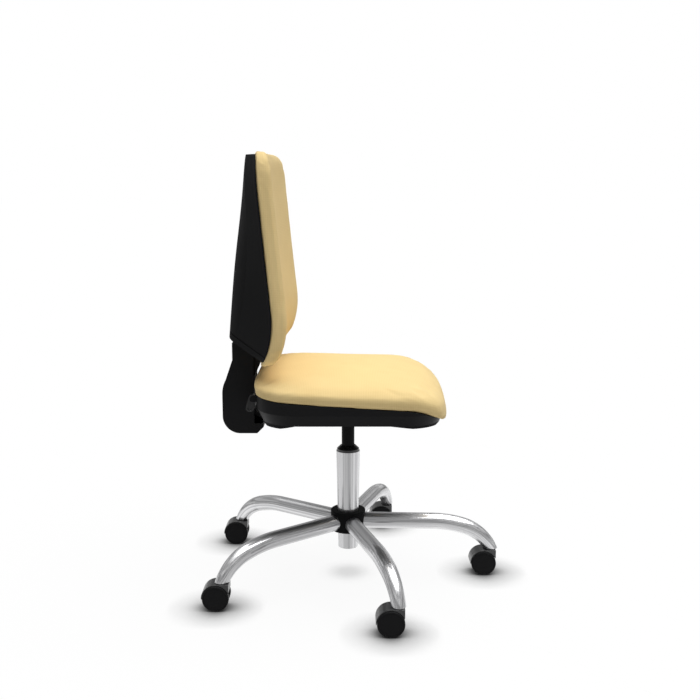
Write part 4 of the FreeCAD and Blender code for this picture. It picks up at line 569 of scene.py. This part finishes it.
class CHAIR_OT_finishes(bpy.types.Operator):
    """Upholstery, chrome, black mouldings, steel and plywood"""

    bl_idname = "chair.finishes"
    bl_label = "Finishes"

    def execute(self, context):
        colours = context.scene.chair_colours
        woven_fabric(colours, context.scene.chair_sizes)
        finish_nodes(
            grained_plastic("grained_polypropylene", colours, roughness=0.4, shine=0.1, grain=1.6 * MM),
            ["stem_sockets", "lever_grip", "seat_cover", "bar_cover_front", "bar_cover_rear",
             "height_carriage"])
        finish_nodes(
            grained_plastic(
                "coarse_grained_polypropylene", colours, roughness=0.5, shine=0.03, grain=2.0 * MM),
            ["back_shell", "hub"])
        finish_nodes(
            grained_plastic("satin_nylon", colours, roughness=0.42, shine=0.06, grain=1.0 * MM),
            [f"{name}_wheel_{side}" for name in CASTERS for side in ("left", "right")])
        finish_nodes(
            grained_plastic("polished_nylon", colours, roughness=0.28, shine=0.9, grain=1.0 * MM),
            ["guide_bush", "tilt_paddle"] + [f"{name}_hood" for name in CASTERS])
        finish_nodes(polished_chrome(colours), BASE_ARMS + ["column_tube"])
        finish_nodes(
            zinc_plated_steel(),
            ["thrust_bearing", "gas_rod", "rod_clip", "valve_pin", "taper_socket", "pivot_pin", "seat_bolts",
             "tilt_springs", "lever_pins", "seat_cover_screws", "back_screws"]
            + [f"{name}_{part}" for name in CASTERS for part in ("stem", "axle")])
        finish_nodes(
            painted_steel(colours), ["gas_cylinder", "mechanism_housing", "height_lever", "back_bar"])
        finish_nodes(raw_plywood(), ["seat_board", "back_board"])
        return {"FINISHED"}


def studio_reflection(tree):
    """Brightness of the studio that reflections see: soft boxes overhead and grey gaps between them in level
    bands, broken by upright strips."""
    way = add_node(tree, "ShaderNodeTexCoord").outputs["Generated"]
    height = add_node(tree, "ShaderNodeSeparateXYZ", {}, {0: way}).outputs["Z"]
    bands = add_node(tree, "ShaderNodeTexWave", {"bands_direction": "Z", "wave_profile": "SIN"}, {
        "Vector": way, "Scale": wave_scale(0.34), "Distortion": 0.7, "Detail": 1.0, "Phase Offset": 0.6})
    flat_way = add_node(tree, "ShaderNodeVectorMath", {"operation": "MULTIPLY"}, {0: way, 1: (1, 1, 0.15)})
    strips = add_node(tree, "ShaderNodeTexNoise", {}, {
        "Vector": flat_way.outputs["Vector"], "Scale": 6.0, "Detail": 2.0})
    strip_level = add_node(tree, "ShaderNodeMapRange", {}, {
        "Value": strips.outputs["Fac"], "From Min": 0.35, "From Max": 0.65, "To Min": 0.45, "To Max": 1.0})
    band_level = add_node(tree, "ShaderNodeMapRange", {}, {
        "Value": bands.outputs["Fac"], "To Min": 0.35, "To Max": 1.0})
    level = add_node(tree, "ShaderNodeMath", {"operation": "MULTIPLY"}, {
        0: strip_level.outputs["Result"], 1: band_level.outputs["Result"]})
    overhead = add_node(tree, "ShaderNodeMapRange", {}, {
        "Value": height, "From Min": 0.55, "From Max": 1.0, "To Min": 0.8, "To Max": 0.9})
    reflected = add_node(tree, "ShaderNodeMath", {"operation": "MULTIPLY"}, {
        0: level.outputs["Value"], 1: overhead.outputs["Result"]})
    return reflected.outputs["Value"]


def studio_world():
    """White backdrop to the camera. Reflections see the bands and strips of the studio, which draw streaks
    along plated tubes, and everything else gets a faint even light."""
    world = bpy.data.worlds.new("studio")
    bpy.context.scene.world = world
    world.use_nodes = True
    tree = world.node_tree
    tree.nodes.clear()
    path = add_node(tree, "ShaderNodeLightPath")
    light, mirrored, backdrop = (
        add_node(tree, "ShaderNodeBackground", {}, {"Color": (1, 1, 1, 1), "Strength": strength})
        for strength in (0.12, studio_reflection(tree), 1.0))
    glossy = add_node(tree, "ShaderNodeMath", {"operation": "MAXIMUM"}, {
        0: path.outputs["Is Glossy Ray"], 1: path.outputs["Is Transmission Ray"]})
    lit = add_node(tree, "ShaderNodeMixShader", {}, {
        0: glossy.outputs["Value"], 1: light.outputs[0], 2: mirrored.outputs[0]})
    seen = add_node(tree, "ShaderNodeMixShader", {}, {
        0: path.outputs["Is Camera Ray"], 1: lit.outputs[0], 2: backdrop.outputs[0]})
    add_node(tree, "ShaderNodeOutputWorld", {}, {"Surface": seen.outputs[0]})


def floor_reflection(tree):
    """Brightness of the floor that reflections see: wedges of different greys round the chair, darkest on its
    right side and far away."""
    place = add_node(tree, "ShaderNodeTexCoord").outputs["Object"]
    way = add_node(tree, "ShaderNodeVectorMath", {"operation": "NORMALIZE"}, {0: place})
    leftwards = add_node(tree, "ShaderNodeSeparateXYZ", {}, {0: way.outputs["Vector"]}).outputs["X"]
    streak = add_node(tree, "ShaderNodeMapRange", {"interpolation_type": "SMOOTHSTEP"}, {
        "Value": leftwards, "From Min": -0.95, "From Max": -0.35, "To Min": 0.62, "To Max": 1.0})
    wedges = add_node(tree, "ShaderNodeTexNoise", {}, {
        "Vector": way.outputs["Vector"], "Scale": 4.5, "Detail": 2.0})
    wedge_level = add_node(tree, "ShaderNodeMapRange", {}, {
        "Value": wedges.outputs["Fac"], "From Min": 0.3, "From Max": 0.7, "To Min": 0.7, "To Max": 1.25})
    greys = add_node(tree, "ShaderNodeMath", {"operation": "MULTIPLY"}, {
        0: streak.outputs["Result"], 1: wedge_level.outputs["Result"]})
    distance = add_node(tree, "ShaderNodeVectorMath", {"operation": "LENGTH"}, {0: place})
    fade = add_node(tree, "ShaderNodeMapRange", {"interpolation_type": "SMOOTHSTEP"}, {
        "Value": distance.outputs["Value"], "From Min": 0.9, "From Max": 2.0, "To Min": 1.0, "To Max": 0.2})
    faded = add_node(tree, "ShaderNodeMath", {"operation": "MULTIPLY"}, {
        0: greys.outputs["Value"], 1: fade.outputs["Result"]})
    return faded.outputs["Value"]


def white_floor():
    """White studio floor. The camera sees it white, with a painted contact shadow from ambient occlusion
    where something stands on it, and a little real shadow where something shades it. Reflections see wedges
    of grey, which draw streaks along plated tubes and keep black sides dark. All else sees grey paint."""
    material, tree = new_tree("white_floor")
    path = add_node(tree, "ShaderNodeLightPath")
    contact_depth = 2.8
    even_share = 0.93
    # Painted contact shadow: ambient occlusion within 8 cm darkens the glow that the camera sees
    near = add_node(tree, "ShaderNodeAmbientOcclusion", {"samples": 16}, {"Distance": 0.08})
    painted_contact_shadow = add_node(tree, "ShaderNodeMath", {"operation": "POWER"}, {0: near.outputs["AO"], 1: contact_depth})
    shown, mirrored = (
        add_node(tree, "ShaderNodeEmission", {}, {"Strength": strength})
        for strength in (painted_contact_shadow.outputs["Value"], floor_reflection(tree)))
    grey_paint, white_paint = (
        add_node(tree, "ShaderNodeBsdfDiffuse", {}, {"Color": (grey, grey, grey, 1.0)})
        for grey in (0.5, 0.9))
    lit = add_node(tree, "ShaderNodeMixShader", {}, {
        0: path.outputs["Is Glossy Ray"], 1: grey_paint.outputs[0], 2: mirrored.outputs[0]})
    white = add_node(tree, "ShaderNodeMixShader", {}, {
        0: even_share, 1: white_paint.outputs[0], 2: shown.outputs[0]})
    seen = add_node(tree, "ShaderNodeMixShader", {}, {
        0: path.outputs["Is Camera Ray"], 1: lit.outputs[0], 2: white.outputs[0]})
    add_node(tree, "ShaderNodeOutputMaterial", {}, {"Surface": seen.outputs[0]})
    return material


def studio_floor():
    """Large square floor at the height of the casters' feet."""
    near, far = -FLOOR_REACH, FLOOR_REACH
    corners = [(near, near, 0), (far, near, 0), (far, far, 0), (near, far, 0)]
    mesh = bpy.data.meshes.new("floor")
    mesh.from_pydata(corners, [], [(0, 1, 2, 3)])
    mesh.materials.append(white_floor())
    floor = bpy.data.objects.new("floor", mesh)
    bpy.context.scene.collection.objects.link(floor)


def overhead_lamp():
    """Very soft light from above and a little from the front."""
    sun = bpy.data.lights.new("overhead", "SUN")
    sun.energy = LAMP_STRENGTH
    sun.angle = LAMP_SPREAD
    holder = bpy.data.objects.new("overhead", sun)
    holder.rotation_euler = (LAMP_LEAN, 0, 0)
    bpy.context.scene.collection.objects.link(holder)


def photo_camera():
    """Camera at the photograph's viewing angle, on the chair's right side."""
    lens = bpy.data.cameras.new("camera")
    lens.sensor_width = CAMERA_SENSOR
    lens.lens = CAMERA_LENS
    camera = bpy.data.objects.new("camera", lens)
    camera.location = CAMERA_PLACE
    camera.rotation_euler = CAMERA_TURN
    bpy.context.scene.collection.objects.link(camera)
    bpy.context.scene.camera = camera


class CHAIR_OT_stage(bpy.types.Operator):
    """White floor, soft studio lamp and the camera"""

    bl_idname = "chair.stage"
    bl_label = "Stage"

    def execute(self, context):
        context.scene.view_settings.view_transform = "Standard"
        studio_world()
        studio_floor()
        overhead_lamp()
        photo_camera()
        return {"FINISHED"}


class CHAIR_PT_panel(bpy.types.Panel):
    """Lists the operators for the chair's pieces and stage"""

    bl_idname = "CHAIR_PT_panel"
    bl_label = "Chair"
    bl_space_type = "VIEW_3D"
    bl_region_type = "UI"
    bl_category = "Chair"

    def draw(self, context):
        for operator in OPERATORS:
            self.layout.operator(operator.bl_idname)


OPERATORS = (CHAIR_OT_finishes, CHAIR_OT_seat_cushion, CHAIR_OT_back_pad, CHAIR_OT_stage)
CLASSES = (ChairSizes, ChairColours, *OPERATORS, CHAIR_PT_panel)


def register():
    for cls in CLASSES:
        bpy.utils.register_class(cls)
    bpy.types.Scene.chair_sizes = PointerProperty(type=ChairSizes)
    bpy.types.Scene.chair_colours = PointerProperty(type=ChairColours)


def unregister():
    del bpy.types.Scene.chair_colours
    del bpy.types.Scene.chair_sizes
    for cls in reversed(CLASSES):
        bpy.utils.unregister_class(cls)


def main():
    register()
    bpy.ops.chair.finishes()
    bpy.ops.chair.seat_cushion()
    bpy.ops.chair.back_pad()
    bpy.ops.chair.stage()


if __name__ == "__main__":
    main()
